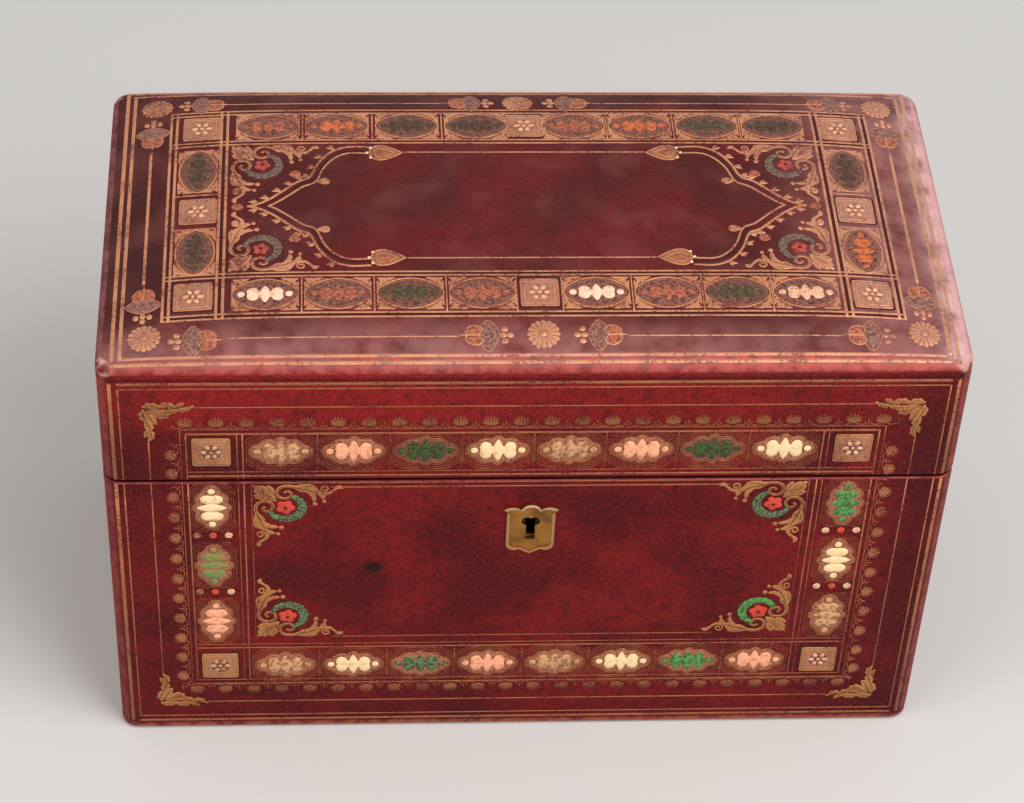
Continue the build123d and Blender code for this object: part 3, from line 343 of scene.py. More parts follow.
# %% Wood, covered board, card, baize
shader, place = new_finish("planed_cedar", Roughness=0.6, IOR=1.5)
stretched = add("Mapping", place, (0.06, 1.0, 1.0))
fibres = add("TexNoise", stretched, per(1.4), 4.0)
rings = add("TexNoise", stretched, per(9), 2.0)
wood = add("Mix", add("MapRange", rings, 0.3, 0.7), "#a06a42", "#7e4c2c")
feed(shader, {"Base Color": add("Mix", add("MapRange", fibres, 0.45, 0.8, 0.6), wood, "#5c331d"),
              "Normal": add("Bump", fibres, 0.08 * MM)})

shader, place = new_finish("crimson_paper", Roughness=0.7, IOR=1.5, Specular_IOR_Level=0.25)
fibres = add("TexNoise", place, per(0.9), 4.0)
fade = add("TexNoise", place, per(30), 2.0)
paper = add("Mix", add("MapRange", fade, 0.35, 0.7), "#7c2628", "#8f3632")
feed(shader, {"Base Color": add("Mix", add("MapRange", fibres, 0.5, 0.8, 0.4), paper, "#5e1a1e"),
              "Normal": add("Bump", fibres, 0.05 * MM)})

for name, size, light, dark, depth, rough, sheen in (
        ("grey_pulp_card", 1.5, "#9a866a", "#6e5c46", 0.08, 0.85, 0.0),
        ("green_baize", 0.7, "#1f3a26", "#35573b", 0.25, 0.95, 0.35)):
    shader, place = new_finish(name, Roughness=rough, IOR=1.5, Sheen_Weight=sheen)
    fibres = add("TexNoise", place, per(size), 5.0)
    feed(shader, {"Base Color": add("Mix", fibres, light, dark),
                  "Normal": add("Bump", fibres, depth * MM)})
print("finishes:", list(finishes)[-4:])


# %% Watered silk, flat and padded
def wave_scale(size):
    """Scale of a wave texture whose waves are `size` mm apart: it repeats every 2 pi / 20."""
    return math.pi / 10 * per(size)


def silk_finish(name, light, dark):
    """Ribbed silk: ribs 0.6 mm apart, and moire bands where their sheen changes."""
    shader, place = new_finish(name, IOR=1.5, Sheen_Weight=0.3, Sheen_Roughness=0.3,
                               Sheen_Tint="#ffc8b8")
    turned = add("Mapping", place, (0.12, 1.0, 1.0))
    bands = add("TexWave", turned, wave_scale(6.5), 7.0, 4.0, 1.6, bands_direction="Y")
    ribs = add("TexWave", place, wave_scale(0.6), bands_direction="X")
    feed(shader, {"Base Color": add("Mix", add("MapRange", bands, 0.1, 0.95), dark, light),
                  "Roughness": add("ADD", 0.32, add("MapRange", bands, 0.0, 1.0, 0.2)),
                  "Normal": add("Bump", ribs, 0.03 * MM)})


silk_finish("watered_silk_lining", "#a03a3b", "#8a2e32")
silk_finish("padded_silk", "#b24746", "#9c3635")
print("finishes:", list(finishes)[-2:])


# %% Brass, gilt brass and steel
def metal_finish(name, bright, tarnish, rough, dull):
    """Cast or rolled metal: bright where it is rubbed, tarnish in broad soft clouds."""
    shader, place = new_finish(name, Metallic=1.0)
    clouds = add("TexNoise", place, per(6), 4.0)
    pits = add("TexNoise", place, per(0.6), 3.0)
    old = add("MapRange", clouds, 0.38, 0.7, dull)
    metal = add("Mix", old, bright, tarnish)
    feed(shader, {"Base Color": metal, "Roughness": add("ADD", rough, add("MULTIPLY", old, 0.25)),
                  "Normal": add("Bump", pits, 0.02 * MM)})
    return shader, place, metal


metal_finish("rolled_brass", "#d9b36a", "#8a6534", 0.26, 0.6)
metal_finish("near_black_brass", "#2c2114", "#150f0a", 0.6, 0.8)  # inside the lock, made nearly black
metal_finish("drawn_steel", "#b9b9ba", "#6d6a66", 0.3, 0.5)

# The escutcheon's raised border is rubbed bright, and painted brighter toward its top edge as a
# highlight; its sunk panel has kept its brown tarnish.
shader, place, metal = metal_finish("gilt_brass", "#a87638", "#6c4828", 0.34, 0.8)
x, y, z = add("SeparateXYZ", place).node.outputs
rubbed_and_highlit = add("Mix", add("MapRange", z, 0.0905, 0.094), "#b98a5e", "#ffd4b4")
feed(shader, {"Base Color": add("Mix", add("MapRange", y, -0.05805, -0.0582), metal, rubbed_and_highlit)})
print("finishes:", list(finishes)[-4:])

# %% Give every CAD node its finish
OF_SLOT = {"carcass_wood": "planed_cedar", "lined_board": "crimson_paper",
           "morocco": "morocco_leather", "card": "grey_pulp_card", "baize": "green_baize",
           "lining": "watered_silk_lining", "silk": "padded_silk", "brass": "rolled_brass",
           "gilt_brass": "gilt_brass", "steel": "drawn_steel"}
for part in frame["record"]["subparts"]:
    mesh = frame["nodes"][part["node"]].data
    mesh.materials.clear()
    mesh.materials.append(finishes[OF_SLOT[part["material_slot"]]])
for node in ("lock_case", "lock_plate", "drill_pin", "bolt_guides"):
    frame["nodes"][node].data.materials[0] = finishes["near_black_brass"]
print(len(frame["nodes"]), "CAD nodes finished")

# %% [markdown]
# ## The faces as maps
# Tooling is designed flat, in millimetres, as a binder draws it, and then carried on to the
# box. A map takes a design's points (right, up, and height above the leather) to the real
# face. The front map bends round the upright corners. The lid map follows the camber.

# %% Sizes of the faces, as in the CAD part
HALF_WIDTH, HALF_DEPTH = 115.0, 57.5
CORNER = 5.0  # radius of the upright corners
EDGE_HEIGHT = 144.0
CROWN, POWER = 5.5, 6  # the lid's rise, and how flat its middle is
ROLL = 2.4  # radius of the lid's top edge
SEAM_LOW, SEAM_HIGH = 102.3, 103.1
LID_RISE = 0.6  # the lid's tooling is worn lower than the front's
print("faces:", 2 * HALF_WIDTH, "x", 2 * HALF_DEPTH, "x", EDGE_HEIGHT, "mm, crown", CROWN)


# %% Maps from flat design to leather
def wall_map(half, distance, turn):
    """A map on to an upright wall that is 2 * half long and `distance` from the middle. Past the
    flat stretch f = half - r, a point goes round the corner by the angle a = (|u| - f) / r:
    x = f + (r + h) sin a, y = -(distance - r) - (r + h) cos a. The wall is then turned."""
    flat, c, s = half - CORNER, math.cos(math.radians(turn)), math.sin(math.radians(turn))

    def wall(p):
        a = np.maximum(np.abs(p[:, 0]) - flat, 0) / CORNER
        r = CORNER + p[:, 2]
        x = np.where(a > 0, np.sign(p[:, 0]) * (flat + r * np.sin(a)), p[:, 0])
        y = -(distance - CORNER) - r * np.cos(a)
        return np.stack([c * x - s * y, s * x + c * y, p[:, 1]], -1) * MM

    return wall


def lid_map(p):
    """On to the lid: z = edge + crown (1 - u^6)(1 - v^6) with u, v from -1 to 1 across it. Inside
    the roll, z is a circle of radius r tangent to the wall and to the camber's slope s:
    z = edge + s r - r sqrt(1 + s^2) + sqrt(r^2 - (r - d)^2), d being the distance to the wall."""
    u, v = p[:, 0] / HALF_WIDTH, p[:, 1] / HALF_DEPTH
    across, along = 1 - np.abs(u) ** POWER, 1 - np.abs(v) ** POWER
    z = CROWN * across * along
    for d, slope in ((HALF_DEPTH - np.abs(p[:, 1]), CROWN * POWER / HALF_DEPTH * across),
                     (HALF_WIDTH - np.abs(p[:, 0]), CROWN * POWER / HALF_WIDTH * along)):
        root = np.sqrt(1 + slope**2)
        round_off = slope * ROLL - ROLL * root + np.sqrt(
            np.maximum(ROLL**2 - np.maximum(ROLL - d, 0) ** 2, 0))
        z = np.where(d < ROLL * (1 - slope / root), np.minimum(z, round_off), z)
    raised = np.where(p[:, 2] > 0, LID_RISE * p[:, 2], p[:, 2])
    return np.stack([p[:, 0], p[:, 1], EDGE_HEIGHT + z + raised], -1) * MM


front_map = wall_map(HALF_WIDTH, HALF_DEPTH, 0)
back_map = wall_map(HALF_WIDTH, HALF_DEPTH, 180)
right_map = wall_map(HALF_DEPTH, HALF_WIDTH, 90)
left_map = wall_map(HALF_DEPTH, HALF_WIDTH, -90)

leather = frame["nodes"]["lid_leather"].data.polygons
outer = np.array([face.center for face in leather
                  if face.normal.z > 0.5 and face.center.z > EDGE_HEIGHT * MM]) / MM
gap = lid_map(outer * (1, 1, 0))[:, 2] / MM - outer[:, 2]
print("the lid map stands over the CAD leather by", np.round([gap.min(), gap.max()], 3), "mm")

# %% [markdown]
# ## Two kinds of tooling
# Nearly all of the work is made with two tools. A fillet or gouge draws a line: here a
# ribbon, a low rounded section carried along a path. A stamp or an onlay fills a shape:
# here a patch, rings that shrink from an outline to its middle. Both go a little way into
# the leather below, so they are closed solids with no gap under them.

# %% Ribbons and patches
SINK = 0.08  # mm below the leather, where the section's height is None
SECTION = np.array([(-1, None), (-0.7, 0.75), (0, 1), (0.7, 0.75), (1, None)], float)


def wrapped(rows, columns):
    """Quads of a grid whose columns close on themselves, numbered row by row."""
    i, j = np.meshgrid(np.arange(rows - 1), np.arange(columns), indexing="ij")
    a, b = i * columns + j, i * columns + (j + 1) % columns
    return np.stack([a, b, b + columns, a + columns], -1).reshape(-1, 4)


def ribbon(path, width, rise=0.09, closed=False):
    """A line along a path: at each point the section (s, t) stands at p + s w/2 n, t rise high,
    where n is the tangent turned by 90 degrees. The width may change along the path."""
    path = np.asarray(path, float)
    n = len(path)
    if closed:
        tangent = np.roll(path, -1, 0) - np.roll(path, 1, 0)
    else:
        tangent = np.gradient(path, axis=0)
    tangent /= np.linalg.norm(tangent, axis=1, keepdims=True)
    normal = tangent[:, ::-1] * (1, -1)
    half = np.broadcast_to(np.asarray(width, float) / 2, n)[:, None, None]
    spread = path[:, None] + SECTION[:, :1] * half * normal[:, None]
    height = np.where(np.isnan(SECTION[:, 1]), -SINK, SECTION[:, 1] * rise)
    points = np.concatenate([spread, np.broadcast_to(height[:, None], (n, 5, 1))], -1)
    cap = np.array([(0, 2, 1), (0, 3, 2), (0, 4, 3)])
    caps = np.vstack([cap, cap[:, ::-1] + 5 * (n - 1)])
    return points.reshape(-1, 3), wrapped(n + closed, 5) % (5 * n), caps[: 0 if closed else 6]


def patch(outline, rise=0.12, dome=0.0, rings=2):
    """A filled shape: rings k = 1 ... 0 at c + k (outline - c), the last one a single point at
    the middle c. Heights go from below the leather, up the edge to rise, and on to rise + dome."""
    n, middle = len(outline), outline.mean(0)
    shrink = np.array([1.0, 0.93, 0.5])[: rings + 1]
    height = np.array([-SINK, rise, rise + 0.75 * dome])[: rings + 1]
    flat = middle + shrink[:, None, None] * (outline - middle)
    points = np.concatenate([flat, np.broadcast_to(height[:, None, None], (rings + 1, n, 1))], -1)
    points = np.vstack([points.reshape(-1, 3), [(*middle, rise + dome), (*middle, -SINK)]])
    edge = np.arange(n)
    after = (edge + 1) % n
    top, low = rings * n, (rings + 1) * n
    tris = np.vstack([np.stack([top + edge, top + after, np.full(n, low)], -1),
                      np.stack([after, edge, np.full(n, low + 1)], -1)])
    return points, wrapped(rings + 1, n), tris


print("a ribbon's section has", len(SECTION), "points")


# %% Outlines and paths
def ellipse(a, b, n):
    """n points of an ellipse with half-axes a and b."""
    t = np.arange(n) * 2 * np.pi / n
    return np.stack([a * np.cos(t), b * np.sin(t)], -1)


def circle(r, n):
    """n points of a circle."""
    return ellipse(r, r, n)


def lobed(discs, grow, n=72):
    """Outline of several ellipses (x, y, a, b) together, seen from the middle: the farthest
    crossing of each ray t (cos, sin) with any of them, grown by `grow` and slightly smoothed."""
    c, s = circle(1, n).T[:, :, None]
    x, y, a, b = (np.asarray(discs, float) + (0, 0, grow, grow)).T
    p = (c / a) ** 2 + (s / b) ** 2
    q = c * x / a**2 + s * y / b**2
    inside = q**2 - p * ((x / a) ** 2 + (y / b) ** 2 - 1)
    far = np.where(inside > 0, (q + np.sqrt(np.maximum(inside, 0))) / p, 0).max(1)
    far = (np.roll(far, 1) + 2 * far + np.roll(far, -1)) / 4
    return far[:, None] * circle(1, n)


def teardrop(length, width, n):
    """A drop with its point at (length, 0): x = l (1 + cos t) / 2, y = 0.62 w sin t
    |sin(t / 2)|^1.2."""
    t = np.arange(n) * 2 * np.pi / n
    return np.stack([length * (1 + np.cos(t)) / 2,
                     width * 0.62 * np.sin(t) * np.abs(np.sin(t / 2)) ** 1.2], -1)


def superellipse(a, b, power, n):
    """|x/a|^p + |y/b|^p = 1: an ellipse at p = 2, pointed below it, nearly a rectangle at 20."""
    t = (np.arange(n) + 0.5) * 2 * np.pi / n
    c, s = np.cos(t), np.sin(t)
    return np.stack([a * np.sign(c) * np.abs(c) ** (2 / power),
                     b * np.sign(s) * np.abs(s) ** (2 / power)], -1)


def square(half):
    """A square with slightly rounded corners."""
    return superellipse(half, half, 20, 32)


def flower(petals, radius, depth, n_each):
    """Outline with round petals: r = radius (1 - depth + depth |cos(petals t / 2)|)."""
    t = np.arange(petals * n_each) * 2 * np.pi / (petals * n_each)
    r = radius * (1 - depth + depth * np.abs(np.cos(petals * t / 2)))
    return r[:, None] * circle(1, len(t))


def straight(start, end, step):
    """Points from start to end, a step apart."""
    start, end = np.array(start, float), np.array(end, float)
    n = max(2, int(np.ceil(np.linalg.norm(end - start) / step)) + 1)
    return start + np.linspace(0, 1, n)[:, None] * (end - start)


def smooth(points, each=6):
    """Catmull-Rom curve: between p1 and p2, half of (2 p1 + (p2 - p0) t + (2 p0 - 5 p1 + 4 p2 -
    p3) t^2 + (3 p1 - p0 - 3 p2 + p3) t^3)."""
    p = np.asarray(points, float)
    p = np.vstack([2 * p[0] - p[1], p, 2 * p[-1] - p[-2]])
    t = (np.arange(each) / each)[None, :, None]
    a, b, c, d = (p[k : len(p) - 3 + k][:, None] for k in range(4))
    curve = 0.5 * (2 * b + (c - a) * t + (2 * a - 5 * b + 4 * c - d) * t**2
                   + (3 * b - a - 3 * c + d) * t**3)
    return np.vstack([curve.reshape(-1, 2), p[-2]])


def scroll(centre, radius, start, turns, n):
    """A volute: the radius shrinks evenly to a quarter while the angle turns."""
    t = np.linspace(0, 1, n)
    a = np.radians(start) + 2 * np.pi * turns * t
    r = radius * (1 - 0.75 * t)
    return np.array(centre) + np.stack([r * np.cos(a), r * np.sin(a)], -1)


def taper(n, widest, ends, scallops=0):
    """Widths along a leaf: widest sin(pi t)^0.7, with scalloped edges, never under its ends."""
    t = np.linspace(0, 1, n)
    w = widest * np.sin(np.pi * t) ** 0.7
    if scallops:
        w = w * (0.72 + 0.28 * np.abs(np.cos(np.pi * scallops * t)))
    return np.maximum(w, ends * widest)


def leaf(path, widest, scallops=0, rise=0.14, each=5):
    """A leaf: a ribbon on a smooth path whose width swells, with scalloped edges."""
    curve = smooth(path, each)
    return ribbon(curve, taper(len(curve), widest, 0.12, scallops), rise)


def vein(path, rise=0.19, each=5, width=0.24):
    """The dark rib down the middle of a leaf."""
    curve = smooth(path, each)[1:-1]
    return ribbon(curve, taper(len(curve), width, 0.4), rise)


print("a leaf 2.6 mm wide has widths", taper(5, 2.6, 0.12).round(1), "mm")

# %% [markdown]
# ## Laying the designs down
# A design is a dictionary from finish to forms, all in flat millimetres. `lay` turns, flips and
# moves it, sends it through a map, and keeps it in the tray of its body and finish. What is
# above the seam rides on the lid, and what is below on the base. At the end each tray becomes
# one piece, so a hundred small stamps cost one object and can't get lost.

# %% Trays
trays = {}


def moved(form, at=(0, 0), turn=0.0, flip=(1, 1)):
    """p' = at + R(turn) (flip p). One flip turns faces inside out, so they are reversed."""
    points, quads, tris = form
    a = math.radians(turn)
    spin = np.array([(math.cos(a), -math.sin(a)), (math.sin(a), math.cos(a))])
    if flip[0] * flip[1] < 0:
        quads, tris = quads[:, ::-1], tris[:, ::-1]
    return np.column_stack([points[:, :2] * flip @ spin.T + at, points[:, 2]]), quads, tris


def mirrored(form):
    """Swaps right and up, which turns faces inside out, so they are reversed."""
    points, quads, tris = form
    return points[:, [1, 0, 2]], quads[:, ::-1], tris[:, ::-1]


def lay(surface, design, at=(0, 0), turn=0.0, flip=(1, 1)):
    """Puts every form of a design on a face, except one that would bridge the seam."""
    for finish, forms in design.items():
        for form in forms:
            points, quads, tris = moved(form, at, turn, flip)
            points = surface(points)
            if points[:, 2].max() < SEAM_LOW * MM:
                trays.setdefault(("base", finish), []).append((points, quads, tris))
            elif points[:, 2].min() > SEAM_HIGH * MM:
                trays.setdefault(("lid", finish), []).append((points, quads, tris))


def line(surface, finish, start, end, width, step=3.0, rise=0.09):
    """One straight fillet."""
    lay(surface, {finish: [ribbon(straight(start, end, step), width, rise)]})


def upright(surface, finish, x, low, high, width, gap=0.5):
    """An upright fillet on a wall, with a gap to either side of the seam."""
    for start, end in ((low, min(high, SEAM_LOW - gap)), (max(low, SEAM_HIGH + gap), high)):
        if end > start:
            line(surface, finish, (x, start), (x, end), width, end - start)


def piece_from(name, forms, finish):
    """Joins forms into one mesh object at the origin."""
    starts = np.cumsum([0] + [len(f[0]) for f in forms[:-1]])
    faces = [f[k] + s for k in (1, 2) for f, s in zip(forms, starts)]
    rows = [row for grid in faces for row in grid.tolist()]
    mesh = bpy.data.meshes.new(name)
    mesh.from_pydata(np.vstack([f[0] for f in forms]), [], rows)
    mesh.polygons.foreach_set("use_smooth", np.ones(len(mesh.polygons), bool))
    mesh.materials.append(finishes[finish])
    made = bpy.data.objects.new(name, mesh)
    bpy.context.scene.collection.objects.link(made)
    return made


print("the seam is", round(SEAM_HIGH - SEAM_LOW, 1), "mm wide")

# %% [markdown]
# ## Stamps shared by front and lid
# The cartouche is the box's main ornament. Its heart is four round lobes with a pointed oval
# through the middle and a ball at each end. Every line round it is the same outline grown a
# little more, which is how nested contour lines are cut on a real brass stamp.

# %% The cartouche
LOBE = [(0, 1.15, 1.65, 2.1), (0, -1.15, 1.65, 2.1)]  # one side of the heart, about its middle
LOBE_X, BALL_X = 3.25, 6.3
WHOLE = [(sign * LOBE_X, y, a, b) for sign in (-1, 1) for _, y, a, b in LOBE]
WHOLE += [(0, 0, 1.25, 4.1), (0, 0, 3.6, 1.5), (BALL_X, 0, 1.1, 1.1), (-BALL_X, 0, 1.1, 1.1)]


def heart(core, height=1.0):
    """Two double lobes, the pointed oval, the bridge that joins them and two balls."""
    stretch = (1, height)
    forms = [patch(superellipse(1.5, 4.1, 1.5, 20) * stretch, 0.26, 0.1),
             patch(ellipse(3.4, 1.7, 16) * stretch, 0.16, 0.1)]
    for sign in (-1, 1):
        forms.append(moved(patch(lobed(LOBE, 0, 32) * stretch, 0.22, 0.12), (sign * LOBE_X, 0)))
        forms.append(moved(patch(circle(1.05, 14), 0.22, 0.1), (sign * BALL_X, 0)))
    return {core: forms}


def cartouche(name, limit=(9.3, 6.9)):
    """Halo leather, heart, two gold outlines, and contour lines that stop at the cell's edge."""
    edge = np.array(limit)
    halo = "halo_slate" if name == "moss" else "halo_tan"
    return {**heart("onlay_" + name),
            halo: [patch(lobed(WHOLE, 1.35, 64), 0.06)],
            "gold_leaf_rubbed": [ribbon(lobed(WHOLE, 1.35), 0.34, 0.14, True),
                                 ribbon(lobed(WHOLE, 0.7), 0.3, 0.14, True)]
            + [ribbon(circle(1.3, 14) + (sign * BALL_X, 0), 0.18, 0.2, True) for sign in (-1, 1)],
            "gold_leaf_faint": [ribbon(np.clip(lobed(WHOLE, grow), -edge, edge), 0.2, 0.05, True)
                                for grow in (2.0, 2.7, 3.4, 4.2)]}


print("a cartouche outline has", len(lobed(WHOLE, 0)), "points")


# %% The square stamp with a six-petalled flower
STAMP = 5.1  # half its width


def square_stamp(slab, gold, petals, dark):
    """A sunk square: a groove, a slab, dark and gold frames, a ring, a disc and a flower."""
    petal = patch(ellipse(0.92, 0.7, 10) + (1.95, 0), 0.3, 0.12, 1)
    rim = ribbon(ellipse(1.02, 0.8, 10) + (1.95, 0), 0.2, 0.25, True)
    return {"burnished_leather": [ribbon(square(STAMP + 0.3), 0.7, 0.03, True)],
            slab: [patch(square(STAMP), 0.2)],
            dark: [ribbon(square(STAMP - 0.55), 0.26, 0.24, True),
                   ribbon(square(STAMP - 1.6), 0.24, 0.24, True),
                   patch(circle(2.95, 24), 0.22), ribbon(circle(3.5, 24), 0.2, 0.24, True)]
            + [moved(rim, turn=60 * k) for k in range(6)],
            gold: [ribbon(square(STAMP - 1.1), 0.5, 0.3, True),
                   ribbon(square(STAMP - 0.12), 0.4, 0.26, True)],
            petals: [patch(circle(0.55, 10), 0.3, 0.1, 1)]
            + [moved(petal, turn=60 * k) for k in range(6)]}


print("a square stamp is", 2 * STAMP, "mm wide")

# %% [markdown]
# ## The front
# The front is a wide frame of cartouches round a plain panel. Outside it a roll, a wheel with
# its pattern cut round the rim, has printed a border of small fans, and a thin line with leafy
# corners and a double fillet finish the edge.

# %% Front: fillets and frames
# Uprights: right of centre, from and to a height above the table, width. Levels: height, half
# length, width.
FRONT_LINES = {
    "gold_leaf_rubbed": (
        ((111.5, 3.9, 138.75, 1.25), (109.3, 5.9, 137.0, 0.5), (102.1, 24.0, 117.5, 0.45),
         (92.3, 21.5, 120.5, 0.5), (77.4, 21.5, 120.5, 0.5)),
        ((138.75, 111.9, 1.1), (137.0, 109.5, 0.5), (130.3, 90.6, 0.45), (120.5, 92.5, 0.75),
         (104.7, 92.4, 0.75), (101.9, 75.5, 0.35), (100.2, 54.0, 0.5), (35.2, 92.4, 0.5),
         (19.8, 93.8, 0.5), (11.9, 90.0, 0.5), (5.9, 109.5, 0.45), (3.9, 111.9, 0.9))),
    "gold_leaf_faint": (
        ((93.8, 19.9, 122.2, 0.35), (78.9, 21.5, 120.5, 0.35), (75.4, 39.7, 101.9, 0.3)),
        ((122.2, 93.9, 0.35), (106.3, 92.4, 0.4), (39.7, 54.0, 0.4), (36.7, 92.4, 0.35),
         (21.5, 92.4, 0.4))),
}
for finish, (uprights, levels) in FRONT_LINES.items():
    for side in (-1, 1):
        for x, low, high, width in uprights:
            upright(front_map, finish, side * x, low, high, width)
    for z, half, width in levels:
        line(front_map, finish, (-half, z), (half, z), width)
print("front fillets laid:", sum(len(forms) for forms in trays.values()))

# %% Front: the two rows and two columns of cartouches
ROWS = {113.9: "tan pink moss cream tan pink moss cream",
        27.7: "tan cream leaf_green pink tan cream green pink"}
COLUMNS = {-1: "cream green_rubbed pink", 1: "green cream tan"}
DOTS = {-1: "rose red blush", 1: "blush red blush"}
CELL, COLUMN_X = 19.2, 86.2

for z, names in ROWS.items():
    for k, name in enumerate(names.split()):
        lay(front_map, cartouche(name), (CELL * (k - 3.5), z))
    for k in range(-3, 4):
        line(front_map, "gold_leaf_faint", (CELL * k, z - 6.7), (CELL * k, z + 6.2), 0.3, 4.0)
for side, names in COLUMNS.items():
    for z, name in zip((92.5, 69.6, 46.7), names.split()):
        lay(front_map, cartouche(name, (9.2, 6.3)), (side * COLUMN_X, z), 90)
    for z in (81.7, 58.9):
        for shift, name in zip((-4.3, 0, 4.3), DOTS[side].split()):
            dot = {"onlay_" + name: [patch(circle(1.15, 14), 0.18, 0.1)],
                   "burnished_leather": [ribbon(circle(1.45, 14), 0.4, 0.04, True)]}
            lay(front_map, dot, (side * COLUMN_X + shift, z))
for side, petals in ((-1, "onlay_tan"), (1, "onlay_blush")):
    stamp = square_stamp("gold_stamp", "gold_leaf_ochre", petals, "halo_plum")
    for z in ROWS:
        lay(front_map, stamp, (side * 85.73, z))
print("cartouches on the front:", sum(names.count(" ") + 1 for names in
                                      (*ROWS.values(), *COLUMNS.values())))

# %% Front: the roll of small fans
TUFT = 8.05  # from one fan to the next


def tuft(finish):
    """Nine petals fanned from a foot, a swag to the next tuft and a spike between them."""
    forms = [moved(patch(ellipse(0.95, 0.55, 10), 0.1, 0.05, 1), (0, 1.0))]
    for angle in range(-80, 81, 20):
        half = 0.875 + 0.625 * math.cos(math.radians(angle))
        petal = patch(ellipse(half, 0.26, 8) + (0.2 + half, 0), 0.1, 0.04, 1)
        forms.append(moved(petal, (0, 0.9), 90 - angle))
    swag = smooth([(0.5, 0.7), (1.5, 0.1), (2.8, 0.1), (3.5, 0.7), (3.0, 1.1)], 3)
    forms += [ribbon(swag, 0.28, 0.08), ribbon((swag * (-1, 1))[::-1], 0.28, 0.08)]
    forms.append(moved(patch(ellipse(0.85, 0.2, 6), 0.08, 0.0, 1), (TUFT / 2, 1.5), 90))
    forms.append(moved(patch(circle(0.3, 6), 0.08, 0.0, 1), (TUFT / 2, 0.2)))
    return {finish: forms}


fan, bright_fan = tuft("gold_leaf_faint"), tuft("gold_leaf_rubbed")
for k in range(-12, 12):
    lay(front_map, fan, (4.3 + TUFT * k, 122.7))
    lay(front_map, fan, (4.0 + TUFT * k, 19.3), 180)
UP_THE_SIDES = (23.4, 31.4, 39.6, 48.0, 56.3, 64.2, 72.4, 80.6, 88.8, 96.6, 105.6, 112.6)
for z in UP_THE_SIDES:
    for side in (-1, 1):
        lay(front_map, bright_fan, (side * 94.4, z), -90 * side)
print("tufts:", 2 * (24 + len(UP_THE_SIDES)))

# %% Front: leafy corners of the thin line
# One spray of acanthus in a corner: the middle line of each leaf, and its width.
ACANTHUS = (
    ([(0.3, 0.7), (2.6, 0.4), (5.4, 1.1)], 2.6), ([(1.2, 2.2), (3.8, 2.6), (6.8, 2.1)], 2.4),
    ([(4.2, 0.6), (6.8, 0.2), (9.6, 1.0)], 2.3), ([(6.0, 2.0), (8.2, 2.4), (10.4, 1.5)], 1.9),
    ([(8.6, 0.7), (10.4, 0), (11.2, -0.8)], 1.7), ([(9.4, 1.3), (11.4, 1.9), (13.9, 0.3)], 1.8),
    ([(0.5, 1.6), (0.5, 4.0), (1.6, 6.4)], 2.5), ([(2.0, 2.6), (2.4, 5.0), (4.0, 7.2)], 2.7),
    ([(2.8, 2.4), (4.8, 4.0), (7.2, 4.6)], 2.3), ([(4.4, 3.4), (6.2, 3.6), (8.2, 3.0)], 1.6),
    ([(1.0, 5.6), (1.9, 7.6), (2.0, 10.0)], 2.7), ([(1.4, 8.8), (1.2, 10.6), (0.5, 11.8)], 1.7),
    ([(2.0, 9.0), (2.5, 11.2), (1.5, 13.6)], 1.9))

# Overlapping leaves, each higher than the last, with a vein and two side veins each.
leaves, veins = [], []
for k, (path, wide) in enumerate(ACANTHUS):
    leaves.append(leaf(path, 1.2 * wide, 3, 0.11 + 0.008 * k))
    veins.append(vein(path, 0.16 + 0.008 * k))
    for side in (-0.28, 0.28):
        shifted = [(u + side * wide * 0.6, v + side * wide) for u, v in path]
        veins.append(vein(shifted, 0.15 + 0.008 * k, 4, 0.14))
for sx in (-1, 1):
    for sy, z in ((-1, 131.4), (1, 10.8)):
        lay(front_map, {"gold_leaf_ochre": leaves, "burnished_leather": veins},
            (sx * 103.6, z), 0, (-sx, sy))
print("leaves in a corner:", len(leaves))

# %% [markdown]
# ## Spandrels
# A spandrel fills the corner between a panel and its frame. This one grows out of a leaf in
# the corner: two volutes, two arms that run along the frame, and between them a crescent of
# green leather that holds a red flower. Half of it is drawn and then mirrored about the diagonal.


